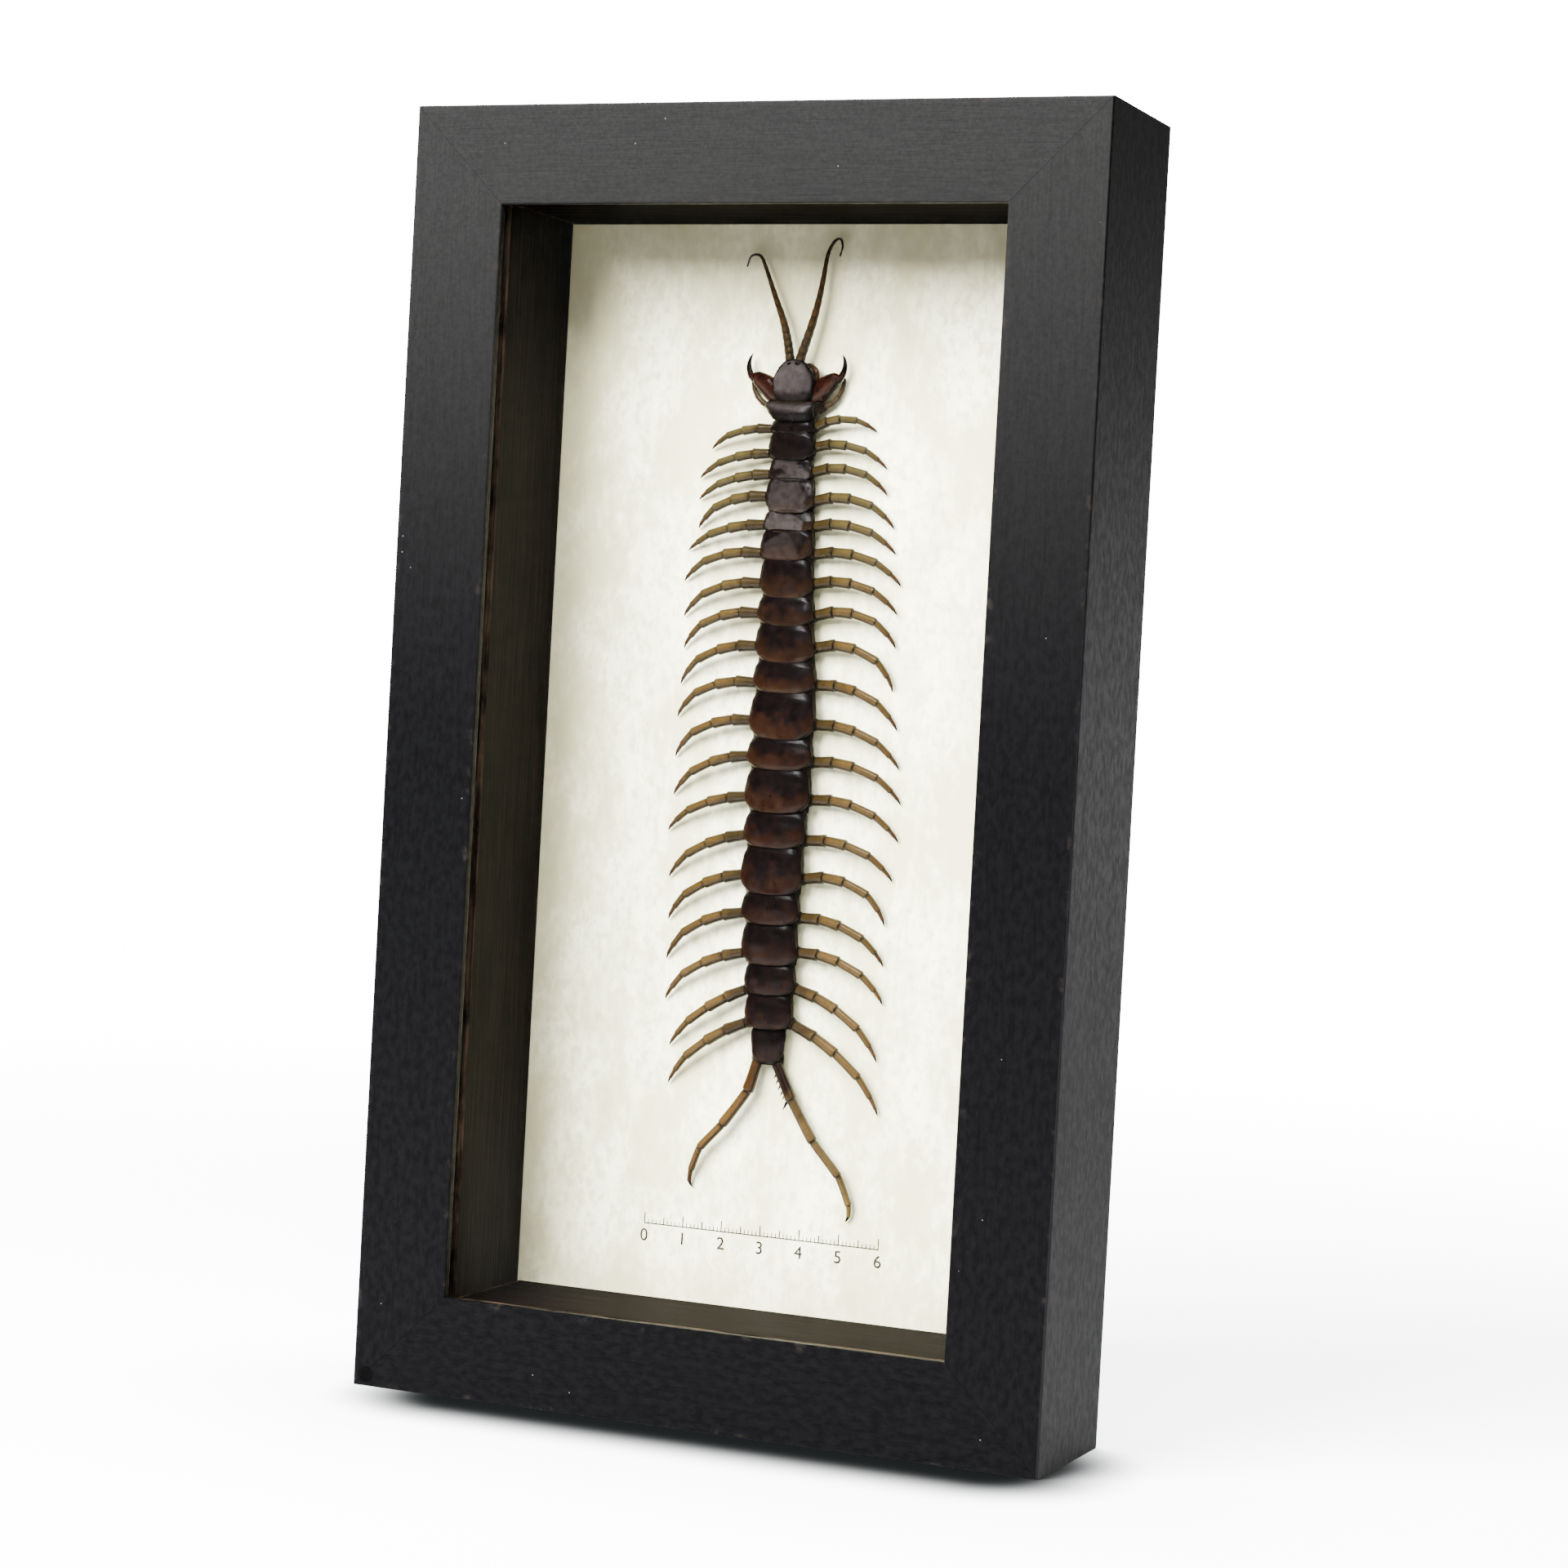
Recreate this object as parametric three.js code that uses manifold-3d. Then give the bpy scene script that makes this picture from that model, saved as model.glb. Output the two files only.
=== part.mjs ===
/**
 * A dried giant centipede, spread flat on cream paper in a deep black wooden frame.
 * Units are millimetres. X runs to the right, Y to the back and Z up, and the frame stands on z = 0
 * with its glass towards -Y. The animal lies head up and back outwards.
 *
 * The animal is built lying down in its own axes: x across, y from tail to head, z away from the
 * paper. One turned group stands it up against the paper.
 */
import * as THREE from 'three';
import { mergeVertices } from 'three/addons/utils/BufferGeometryUtils.js';
import Module from 'manifold-3d';

const wasm = await Module();
wasm.setup();

// Frame sizes
const frameWidth = 170;
const frameHeight = 300;
const frameDepth = 42;
const mouldingFace = 23;
const lipThickness = 3;
const rabbetWidth = 5;
const edgeChamfer = 0.7;
const glassThickness = 3;
const paperDepth = 39.6;
const boardThickness = 1.8;
const linerStart = 6.7;
const linerFace = 22.2;
const gap = 0.3;

// Body plan: one entry for each of the 21 back plates, from the collar to the last plate
const collarFront = 237;
const plateLength = [
  5.3, 2.9, 6.1, 4.9, 7.5, 4.5, 6.6, 8.9, 6.5, 8.6, 7.2,
  10.8, 7.2, 10.0, 8.3, 10.9, 7.1, 9.5, 7.0, 8.0, 8.4,
];
const plateHalfWidth = [
  7.3, 5.4, 5.7, 5.3, 6.0, 6.1, 6.6, 6.6, 7.0, 7.3, 7.7,
  8.05, 8.05, 8.1, 7.7, 7.6, 7.2, 6.9, 6.3, 5.9, 4.1,
];
const plateCount = plateLength.length;
const trunkSplits = [7, 14];
const heightPerHalfWidth = 0.6;
const heightBase = 1.4;
const bellyHeight = gap;
const midline = [
  [70, 0.4], [88, 0.55], [100, 0.4], [112, -0.25], [126, -0.4], [145, 0.05],
  [170, 0.2], [186, -0.5], [203, -1.1], [230, -1.4], [260, -1.5],
];

// Walking legs of the second to the twentieth plate. Each row gives the hip's place as a share of
// its plate, how far the claw reaches out from the middle of the paper, the claw's height up the
// paper, and how strongly the leg bends. The first pair, folded forwards, is built apart.
const legsLeft = [
  [0.72, 22.9, 224.6, 0.65], [0.82, 25.6, 217.6, 0.6], [0.78, 25.6, 212.5, 0.6], [0.55, 25.3, 205.7, 0.9],
  [0.73, 27.6, 200.4, 0.6], [0.83, 28.3, 193, 0.85], [0.67, 27.9, 184.7, 0.9], [0.63, 27.4, 177.2, 1],
  [0.62, 27.8, 168.6, 1], [0.74, 28.2, 160.8, 1], [0.65, 28.2, 151.3, 1], [0.64, 28.1, 142.2, 0.85],
  [0.7, 29.1, 133.7, 0.7], [0.73, 28.2, 122.6, 0.75], [0.65, 27.8, 112.5, 0.85], [0.73, 27.7, 103.1, 0.9],
  [0.79, 27.5, 93.4, 0.8], [0.96, 25.8, 82.6, 0.5], [0.93, 25.6, 73.6, 0.6],
];
const legsRight = [
  [0.48, 18.9, 229.4, 1.05], [0.52, 21.9, 220.8, 1], [0.61, 22.3, 214.7, 1.15], [0.64, 24.4, 207, 1.15],
  [0.73, 25.2, 201.1, 1], [0.8, 26.9, 193.8, 1], [0.62, 26.3, 187.2, 1.05], [0.62, 26.4, 179.3, 1.3],
  [0.58, 26.2, 169.2, 1.45], [0.72, 27.9, 160.2, 1.1], [0.67, 28.9, 151.3, 1], [0.72, 29.8, 143.2, 1],
  [0.69, 29.7, 134.4, 1], [0.77, 28.8, 125.2, 1], [0.65, 27.3, 114.8, 1.4], [0.76, 27.7, 105.3, 1.05],
  [0.68, 28, 96.5, 1.05], [0.8, 27.3, 83, 0.9], [0.88, 28.3, 70.6, 0.8],
];
const hipLength = 2.4;
const hipReach = 0.3;
const articleShare = [0.2, 0.215, 0.255, 0.18, 0.095, 0.055];
const articleTurn = [0, 11, 12, 20, 9, 12];
const jointHeight = [2.1, 2.8, 3, 2.5, 1.5, 0.95, 0.5];
const articleStart = [0.95, 0.87, 0.8, 0.66, 0.46, 0.28];
const articleEnd = [1.08, 1, 0.82, 0.56, 0.32, 0.12];
const creaseHalf = 0.14;
const legSides = 6;

const degrees = Math.PI / 180;
const outwards = new THREE.Vector3(0, 0, 1);

/** A value read from a list of [position, value] pairs, smoothed between them. */
function smoothValue(pairs, position) {
  const last = pairs.length - 1;
  if (position <= pairs[0][0]) return pairs[0][1];
  if (position >= pairs[last][0]) return pairs[last][1];
  const after = pairs.findIndex(([at]) => at > position);
  const [fromAt, from] = pairs[after - 1];
  const [toAt, to] = pairs[after];
  return from + (to - from) * THREE.MathUtils.smoothstep(position, fromAt, toAt);
}

/** The body's middle line at a height up the paper. */
function middle(along) {
  return smoothValue(midline, along);
}

/** Turns every face over where a closed mesh is inside out. */
function faceOut(points, faces) {
  let volume = 0;
  for (let f = 0; f < faces.length; f += 3) {
    const [a, b, c] = [points[faces[f]], points[faces[f + 1]], points[faces[f + 2]]];
    volume += a.dot(new THREE.Vector3().crossVectors(b, c));
  }
  return volume < 0 ? faces.slice().reverse() : faces;
}

/** A closed geometry through rings of points, with a fan over each end. */
function loft(rings) {
  const sides = rings[0].length;
  const points = rings.flat();
  const caps = points.length;
  for (const ring of [rings[0], rings[rings.length - 1]]) {
    const centre = new THREE.Vector3();
    ring.forEach((point) => centre.addScaledVector(point, 1 / sides));
    points.push(centre);
  }
  const faces = [];
  const lastRing = (rings.length - 1) * sides;
  for (let s = 0; s < sides; s += 1) {
    const t = (s + 1) % sides;
    for (let start = 0; start < lastRing; start += sides) {
      faces.push(start + s, start + t, start + sides + t);
      faces.push(start + s, start + sides + t, start + sides + s);
    }
    faces.push(caps, t, s);
    faces.push(caps + 1, lastRing + s, lastRing + t);
  }
  const geometry = new THREE.BufferGeometry();
  geometry.setFromPoints(points);
  geometry.setIndex(faceOut(points, faces));
  return geometry;
}

/** A tube through stations, each with its place, its direction and its half width and half height. */
function tube(stations, sides) {
  const rings = stations.map(({ at, along, wide, tall }) => {
    const across = new THREE.Vector3().crossVectors(along, outwards).normalize();
    const over = new THREE.Vector3().crossVectors(across, along).normalize();
    return Array.from({ length: sides }, (_, s) => {
      const angle = (2 * Math.PI * s) / sides;
      const point = at.clone().addScaledVector(across, Math.cos(angle) * wide);
      return point.addScaledVector(over, Math.sin(angle) * tall);
    });
  });
  return loft(rings);
}

/** Stations along a smooth curve through points, with half widths spread evenly between them. */
function stationsOn(points, halfWidths, flatness, count) {
  const curve = new THREE.CatmullRomCurve3(points.map((point) => new THREE.Vector3(...point)));
  const widthAt = (share) => {
    const place = share * (halfWidths.length - 1);
    const low = Math.min(Math.floor(place), halfWidths.length - 2);
    return THREE.MathUtils.lerp(halfWidths[low], halfWidths[low + 1], place - low);
  };
  return Array.from({ length: count + 1 }, (_, i) => {
    const share = i / count;
    const wide = widthAt(share);
    return { at: curve.getPoint(share), along: curve.getTangent(share), wide, tall: wide * flatness };
  });
}

/** The solid of a closed geometry. */
function solidOf(geometry) {
  const bare = new THREE.BufferGeometry();
  bare.setAttribute('position', geometry.getAttribute('position'));
  bare.setIndex(geometry.getIndex());
  const merged = mergeVertices(bare, 1e-5);
  const vertProperties = Float32Array.from(merged.getAttribute('position').array);
  const triVerts = Uint32Array.from(merged.getIndex().array);
  return new wasm.Manifold(new wasm.Mesh({ numProp: 3, vertProperties, triVerts }));
}

/** The geometry of a solid's largest closed surface. */
function geometryOf(solid) {
  const pieces = solid.decompose();
  const largest = pieces.reduce((best, piece) => (piece.volume() > best.volume() ? piece : best));
  const { vertProperties, triVerts } = largest.getMesh();
  const geometry = new THREE.BufferGeometry();
  geometry.setAttribute('position', new THREE.BufferAttribute(vertProperties, 3));
  geometry.setIndex(new THREE.BufferAttribute(triVerts, 1));
  return geometry;
}

/** All the geometries joined to one solid. */
function joined(geometries) {
  return geometries.map(solidOf).reduce((whole, piece) => whole.add(piece));
}

// Frame

/** A rail of the moulding, mitred at both ends, along x with its outer face at y = 0. */
function railGeometry(length) {
  const profile = new THREE.Shape();
  profile.moveTo(0, frameDepth);
  profile.lineTo(0, edgeChamfer);
  profile.lineTo(edgeChamfer, 0);
  profile.lineTo(mouldingFace, 0);
  profile.lineTo(mouldingFace, lipThickness);
  profile.lineTo(mouldingFace - rabbetWidth, lipThickness);
  profile.lineTo(mouldingFace - rabbetWidth, frameDepth);
  profile.closePath();
  const rail = new THREE.ExtrudeGeometry(profile, { depth: 1, bevelEnabled: false });
  const place = rail.getAttribute('position');
  for (let i = 0; i < place.count; i += 1) {
    const inward = place.getX(i);
    const halfLength = length / 2 - inward - gap / 2;
    const along = place.getZ(i) > 0.5 ? -halfLength : halfLength;
    place.setXYZ(i, along, place.getY(i) - frameDepth / 2, inward);
  }
  return rail;
}

/** A plain board or pane, given by its size and its lowest corner. */
function boardGeometry([width, depth, height]) {
  return new THREE.BoxGeometry(width, depth, height);
}

// Trunk

/** The place of a plate's front edge, counted up the paper. */
function plateFront(plate) {
  return collarFront - plateLength.slice(0, plate).reduce((sum, length) => sum + length, 0);
}

/** A cross section of the trunk: belly, flank, plate rim and arched back, as shares of its size. */
const trunkSection = [
  [0.55, 0], [0.85, 0.1], [0.985, 0.3], [0.92, 0.48], [0.95, 0.6], [0.74, 0.87],
];

/** One ring of the trunk at a height up the paper. */
function trunkRing(along, halfWidth, height, grow) {
  const point = (share, rise, side) => new THREE.Vector3(
    middle(along) + side * (share * halfWidth + grow),
    along,
    bellyHeight - grow + rise * (height + 2 * grow),
  );
  const right = trunkSection.map(([share, rise]) => point(share, rise, 1));
  const left = trunkSection.map(([share, rise]) => point(share, rise, -1)).reverse();
  return [...right, point(0.3, 1, 1), point(0.3, 1, -1), ...left];
}

/** How a plate's width and height swell from its tucked-in front edge to its free hind edge. */
const plateSwell = [[0, 0.88, 0.91], [0.22, 0.97, 0.98], [0.86, 1, 1], [1, 0.93, 0.98]];
const collarSwell = [[0, 0.97, 0.8], [0.3, 1, 0.95], [0.62, 0.9, 1], [1, 0.74, 0.97]];
const lastSwell = [[0, 0.92, 0.92], [0.15, 1, 0.98], [0.8, 0.9, 1], [1, 0.62, 0.9]];
const plateStep = 0.22;

/** The half width and height of a plate's fullest place. */
function plateSize(plate) {
  const halfWidth = plateHalfWidth[plate];
  return { halfWidth, height: heightBase + heightPerHalfWidth * halfWidth };
}

/** A length of trunk, from one plate up to but not including another. */
function trunkGeometry(first, end, grow = 0) {
  const rings = [];
  for (let plate = first; plate < end; plate += 1) {
    const { halfWidth, height } = plateSize(plate);
    const front = plateFront(plate) - (plate === first ? gap / 2 : plateStep);
    const back = plateFront(plate + 1) + (plate === end - 1 ? gap / 2 : 0);
    let swell = plateSwell;
    if (plate === 0) swell = collarSwell;
    if (plate === plateCount - 1) swell = lastSwell;
    for (const [share, wide, tall] of swell) {
      const along = THREE.MathUtils.lerp(front, back, share);
      rings.push(trunkRing(along, halfWidth * wide, height * tall, grow));
    }
  }
  rings[0].forEach((point) => point.setY(point.y + grow));
  return loft(rings);
}

// Walking legs

/** The joints of a leg in the plane of the paper, fitted between its hip and its claw tip. */
function legJoints(hip, claw, turns, shares) {
  const reach = [new THREE.Vector2()];
  let heading = 0;
  shares.forEach((share, i) => {
    heading -= turns[i] * degrees;
    const step = new THREE.Vector2(Math.cos(heading), Math.sin(heading)).multiplyScalar(share);
    reach.push(reach[i].clone().add(step));
  });
  const free = reach[reach.length - 1];
  const wanted = claw.clone().sub(hip);
  const scale = wanted.length() / free.length();
  const turn = wanted.angle() - free.angle();
  return reach.map((point) => point.rotateAround(new THREE.Vector2(), turn).multiplyScalar(scale).add(hip));
}

/** Stations of a jointed limb: a swollen end, a crease and a narrower start at every joint. */
function limbStations(joints, starts, ends, size) {
  const headings = joints.slice(1).map((joint, i) => joint.clone().sub(joints[i]).normalize());
  const station = (at, along, radius) => ({ at, along, wide: radius * size, tall: radius * size });
  const stations = [station(joints[0], headings[0], starts[0])];
  for (let i = 1; i < headings.length; i += 1) {
    const along = headings[i - 1].clone().add(headings[i]).normalize();
    const near = joints[i].clone().addScaledVector(along, -creaseHalf);
    const far = joints[i].clone().addScaledVector(along, creaseHalf);
    stations.push(station(near, along, ends[i - 1]));
    stations.push(station(far, along, starts[i]));
  }
  const last = headings.length - 1;
  stations.push(station(joints[last + 1], headings[last], ends[last]));
  return stations;
}

/** Where a leg leaves the trunk, and the joints that follow it. */
function walkingLeg(plate, side) {
  const rows = side < 0 ? legsLeft : legsRight;
  const [share, clawOut, clawUp, bend] = rows[plate - 1];
  const hipUp = plateFront(plate) - share * plateLength[plate];
  const hip = new THREE.Vector2(side * middle(hipUp) + plateHalfWidth[plate] + hipReach, hipUp);
  const turns = articleTurn.map((turn) => turn * bend);
  const flat = legJoints(hip, new THREE.Vector2(clawOut, clawUp), turns, articleShare);
  const joints = flat.map((point, i) => new THREE.Vector3(side * point.x, point.y, jointHeight[i]));
  return { joints, size: Math.min(1, 0.8 + 0.05 * plate) };
}

/** The first pair, folded forwards along the pincers. */
const foldedPath = [[7.4, 235], [9, 236], [10.4, 237.5], [11.3, 239.4], [11.6, 241], [11.6, 242]];
const foldedHeight = [1.25, 1.2, 1.15, 1.1, 1, 0.8];
const foldedStart = [0.72, 0.68, 0.62, 0.52, 0.4];
const foldedEnd = [0.74, 0.7, 0.6, 0.46, 0.14];

/** The first leg's joints on one side. */
function foldedLeg(side) {
  const joints = foldedPath.map(([out, along], i) => new THREE.Vector3(
    middle(along) + side * out,
    along,
    foldedHeight[i],
  ));
  return { joints, size: 1 };
}

// The last legs trail behind the body and are longer and stouter than the others.
const trailingHeight = [2, 2.5, 2.7, 2.4, 1.5, 0.9, 0.6];
const trailingLeft = [[-2.1, 81.2], [-4.1, 73.8], [-10.1, 65.3], [-15.6, 59.3], [-18, 53.6], [-18.5, 50.8]];
const trailingRight = [[2.8, 81], [7.3, 72.6], [13.3, 63.4], [20, 55.9], [22.6, 49.3], [22.5, 46.6]];
const trailingClaw = { left: [-17.6, 49.4], right: [21.6, 45.2] };
const trailingStart = [1.28, 1.12, 0.98, 0.82, 0.6, 0.4];
const trailingEnd = [1.34, 1.14, 0.94, 0.74, 0.46, 0.14];

/** The last leg's joints on one side. */
function trailingLeg(side) {
  const path = side < 0 ? [...trailingLeft, trailingClaw.left] : [...trailingRight, trailingClaw.right];
  const joints = path.map(([x, y], i) => new THREE.Vector3(x, y, trailingHeight[i]));
  return { joints, size: 1 };
}

/** The joints and shape of any leg, from the collar's folded pair to the trailing pair. */
function legPlan(plate, side) {
  if (plate === 0) return { ...foldedLeg(side), starts: foldedStart, ends: foldedEnd };
  if (plate === plateCount - 1) {
    return { ...trailingLeg(side), starts: trailingStart, ends: trailingEnd };
  }
  return { ...walkingLeg(plate, side), starts: articleStart, ends: articleEnd };
}

/** The hip on the trunk that a leg grows from, ending in a flat face. */
function hipGeometry(plate, side) {
  const { joints, starts, size } = legPlan(plate, side);
  const along = joints[1].clone().sub(joints[0]).normalize();
  const root = joints[0].clone().addScaledVector(along, -hipLength);
  const radius = starts[0] * size;
  return tube([
    { at: root, along, wide: radius * 1.3, tall: radius * 1.2 },
    { at: joints[0], along, wide: radius * 1.08, tall: radius * 1.08 },
  ], 6);
}

/** Spines on the inner edge of the right trailing thigh: share of the thigh, length, half width. */
const thighSpines = [[0.28, 1.3, 0.32], [0.5, 1.3, 0.32], [0.78, 1.3, 0.32], [0.97, 1.9, 0.42]];
const spineSink = 0.55;
const spinePoint = 0.08;

/** The pointed spines of the right trailing leg. */
function spineGeometries(joints) {
  const thigh = joints[1].clone().sub(joints[0]);
  const along = thigh.clone().normalize();
  const inner = new THREE.Vector3().crossVectors(outwards, along).negate().normalize();
  return thighSpines.map(([share, length, half]) => {
    const root = joints[0].clone().addScaledVector(thigh, share).addScaledVector(inner, spineSink);
    const direction = inner.clone().add(along).normalize();
    const tip = root.clone().addScaledVector(direction, length);
    return tube([
      { at: root, along: direction, wide: half, tall: half },
      { at: tip, along: direction, wide: spinePoint, tall: spinePoint },
    ], 5);
  });
}

/** A leg, a gap away from the flat face of its hip. */
function legGeometry(plate, side) {
  const { joints, starts, ends, size } = legPlan(plate, side);
  const along = joints[1].clone().sub(joints[0]).normalize();
  const placed = joints.slice();
  placed[0] = joints[0].clone().addScaledVector(along, gap);
  const limb = tube(limbStations(placed, starts, ends, size), legSides);
  if (plate < plateCount - 1 || side < 0) return limb;
  return geometryOf(joined([limb, ...spineGeometries(joints)]));
}

// Head

const headAlong = 240.9;
const headHalfWidth = 5.2;
const headHalfLength = 4.7;
const headMiddle = middle(headAlong);
const headProfile = [
  [0.3, 5.35], [0.62, 5.1], [0.86, 4.55], [0.98, 3.95], [1, 3.6], [0.97, 3.25], [0.86, 2.9], [0.8, 1.4],
];
const headSides = 16;
const jawPlate = [
  [237.1, 5.1], [238.5, 5.4], [240.5, 5.2], [242.4, 4.3], [243.8, 3.2], [244.6, 2],
];
const jawHeight = 2.4;
const socketRadius = 1.0;
const socketLength = 1.1;

/** A point of the head, from its place across the head's own middle line. */
function headPoint(out, along, height) {
  return new THREE.Vector3(headMiddle + out, along, height);
}

/** The round head shield and the walls below it. */
function shieldGeometry(grow) {
  const rings = headProfile.map(([share, height]) => Array.from({ length: headSides }, (_, s) => {
    const angle = (2 * Math.PI * s) / headSides;
    const blunt = 1 - 0.05 * Math.max(0, Math.sin(angle)) ** 6;
    const wide = headHalfWidth * share + grow;
    const long = (headHalfLength * share + grow) * blunt;
    return headPoint(Math.cos(angle) * wide, headAlong + Math.sin(angle) * long, height);
  }));
  rings[0].forEach((point) => point.setZ(point.z + grow));
  rings[rings.length - 1].forEach((point) => point.setZ(point.z - grow));
  return loft(rings);
}

/** The flat jaw plate under the head that carries the pincers. */
function jawGeometry(grow) {
  const rings = jawPlate.map(([along, half], i) => {
    const shift = i === 0 ? -grow : grow;
    const wide = half + grow;
    const top = jawHeight + grow;
    const bottom = bellyHeight - grow;
    return [[1, 0.45], [0.8, 1], [-0.8, 1], [-1, 0.45], [-0.8, 0], [0.8, 0]].map(([share, rise]) => (
      headPoint(share * wide, along + shift, bottom + rise * (top - bottom))
    ));
  });
  return loft(rings);
}

/** The feeler jaws that curl round the front of the head, one on each side. */
const palpPath = [[3.9, 240.9, 2], [4.9, 241.8, 2], [4.7, 243.3, 2], [3.6, 244.4, 1.9], [2.2, 245, 1.8]];
const palpHalfWidth = [0.65, 0.75, 0.75, 0.6, 0.4];
const palpTuck = { left: 0.7, right: 0 };

/** One feeler jaw. */
function palpGeometry(side, grow) {
  const tuck = side < 0 ? palpTuck.left : palpTuck.right;
  const points = palpPath.map(([out, along, height]) => (
    headPoint(side * (out - tuck), along, height).toArray()
  ));
  return tube(stationsOn(points, palpHalfWidth.map((half) => half + grow), 1, 6), 6);
}

const eyePlaces = [[3.75, 243.7, 0.34], [4.15, 242.9, 0.34], [3.2, 244.2, 0.34], [3.85, 243.2, 0.3]];
const eyeHeight = 4.05;

/** The small beads of the eyes on one side of the head. */
function eyeGeometries(side) {
  return eyePlaces.map(([out, along, radius]) => {
    const bead = new THREE.IcosahedronGeometry(radius, 0);
    const place = headPoint(side * out, along, eyeHeight);
    bead.translate(place.x, place.y, place.z);
    bead.deleteAttribute('normal');
    bead.deleteAttribute('uv');
    return mergeVertices(bead);
  });
}

// Antennae: where each one runs, from its socket to its hooked tip
const antennaLeft = [
  [-3.3, 246.4, 3.2], [-4.2, 251.5, 3.2], [-5.3, 255, 3.1], [-7.2, 259.3, 2.9], [-9, 263.5, 2.7],
  [-10.7, 267.3, 2.4], [-12, 269.8, 2.2], [-13.4, 270.5, 2], [-15, 270, 1.8], [-16, 267.7, 1.4],
];
const antennaRight = [
  [0.4, 246.4, 3.2], [1.5, 251.5, 3.2], [2.6, 256, 3.1], [3.4, 260, 2.9], [4.1, 264.5, 2.7],
  [4.5, 268.4, 2.5], [5, 271.3, 2.2], [6.2, 273.6, 2], [7.6, 274.2, 1.8], [8.1, 272.4, 1.6],
  [7.4, 270.2, 1.2],
];
const antennaHalfWidth = [0.98, 0.9, 0.77, 0.62, 0.47, 0.35, 0.3, 0.26, 0.2];
const antennaBeads = 17;

/** The direction in which an antenna leaves its socket. */
function antennaHeading(path) {
  return new THREE.Vector3(...path[1]).sub(new THREE.Vector3(...path[0])).normalize();
}

/** A beaded antenna, a gap away from its socket. */
function antennaGeometry(path) {
  const stations = stationsOn(path, antennaHalfWidth, 1, antennaBeads * 2);
  stations.forEach((station, i) => {
    const crease = i % 2 === 0 && i > 0 ? 0.88 : 1;
    station.wide *= crease;
    station.tall *= crease;
  });
  return tube(stations, 6);
}

/** The socket on the head that an antenna grows from, ending in a flat face. */
function socketGeometry(path) {
  const along = antennaHeading(path);
  const end = new THREE.Vector3(...path[0]).addScaledVector(along, -gap);
  const root = end.clone().addScaledVector(along, -socketLength - 1.2);
  return tube([
    { at: root, along, wide: socketRadius * 1.15, tall: socketRadius * 1.15 },
    { at: end, along, wide: socketRadius, tall: socketRadius },
  ], 6);
}

/** The core of the head, which its neighbours are cut clear of. */
function headCore(grow) {
  return joined([shieldGeometry(grow), jawGeometry(grow), palpGeometry(-1, grow), palpGeometry(1, grow)]);
}

/** The whole head. */
function headGeometry() {
  const sockets = joined([socketGeometry(antennaLeft), socketGeometry(antennaRight)]);
  const eyes = joined([...eyeGeometries(-1), ...eyeGeometries(1)]);
  return geometryOf(headCore(0).add(sockets).add(eyes));
}

// Pincers: the stout base, then the claw that curves forwards to its point
const pincerPath = [
  [3.2, 236.6, 1.9], [5.6, 238.1, 2], [7.9, 239.7, 2.1], [9.7, 241, 2.2], [11, 241.9, 2.2],
  [11.7, 243.2, 2.1], [11.95, 244.6, 2], [11.75, 246, 1.9], [11.15, 247.3, 1.8],
];
const pincerHalfWidth = [1.8, 2, 1.95, 1.45, 0.92, 0.72, 0.57, 0.36, 0.1];

/** One pincer, cut clear of the head and the collar. */
function pincerGeometry(side) {
  const points = pincerPath.map(([out, along, height]) => headPoint(side * out, along, height).toArray());
  const body = solidOf(tube(stationsOn(points, pincerHalfWidth, 0.72, 14), 8));
  const collar = solidOf(trunkGeometry(0, 2, gap));
  return geometryOf(body.subtract(headCore(gap)).subtract(collar));
}

// Colours of the parts, as seen in daylight
const finishes = {
  blackWood: { color: 0x1d1d21, roughness: 0.72, metalness: 0 },
  linerWood: { color: 0x262420, roughness: 0.8, metalness: 0 },
  glass: { color: 0xf4f8f8, roughness: 0.03, metalness: 0, transparent: true, opacity: 0.12 },
  paper: { color: 0xe9e6d8, roughness: 0.95, metalness: 0 },
  plates: { color: 0x2b1a18, roughness: 0.35, metalness: 0 },
  head: { color: 0x3a3032, roughness: 0.4, metalness: 0 },
  pincers: { color: 0x4a1d12, roughness: 0.3, metalness: 0 },
  antennae: { color: 0x4a3420, roughness: 0.5, metalness: 0 },
  legs: { color: 0x87723a, roughness: 0.45, metalness: 0 },
  trailingLegs: { color: 0x6b4a2c, roughness: 0.45, metalness: 0 },
};

/** A named mesh with its own material. */
function mesh(name, geometry, finish) {
  const made = new THREE.Mesh(geometry, new THREE.MeshStandardMaterial(finishes[finish]));
  made.name = name;
  return made;
}

/** The four mitred rails of the frame. */
function addRails(parent) {
  const rails = [
    ['frame_rail_bottom', frameWidth, 0, 0, 0],
    ['frame_stile_right', frameHeight, -90, frameWidth / 2, frameHeight / 2],
    ['frame_rail_top', frameWidth, 180, 0, frameHeight],
    ['frame_stile_left', frameHeight, 90, -frameWidth / 2, frameHeight / 2],
  ];
  for (const [name, length, turn, x, z] of rails) {
    const rail = mesh(name, railGeometry(length), 'blackWood');
    rail.rotation.y = turn * degrees;
    rail.position.set(x, 0, z);
    parent.add(rail);
  }
}

/** A flat piece placed between two depths behind the front of the frame. */
function addFlat(parent, name, finish, [left, right], [low, high], [front, back]) {
  const flat = mesh(name, boardGeometry([right - left, back - front, high - low]), finish);
  flat.position.set((left + right) / 2, (front + back - frameDepth) / 2, (low + high) / 2);
  parent.add(flat);
}

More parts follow.
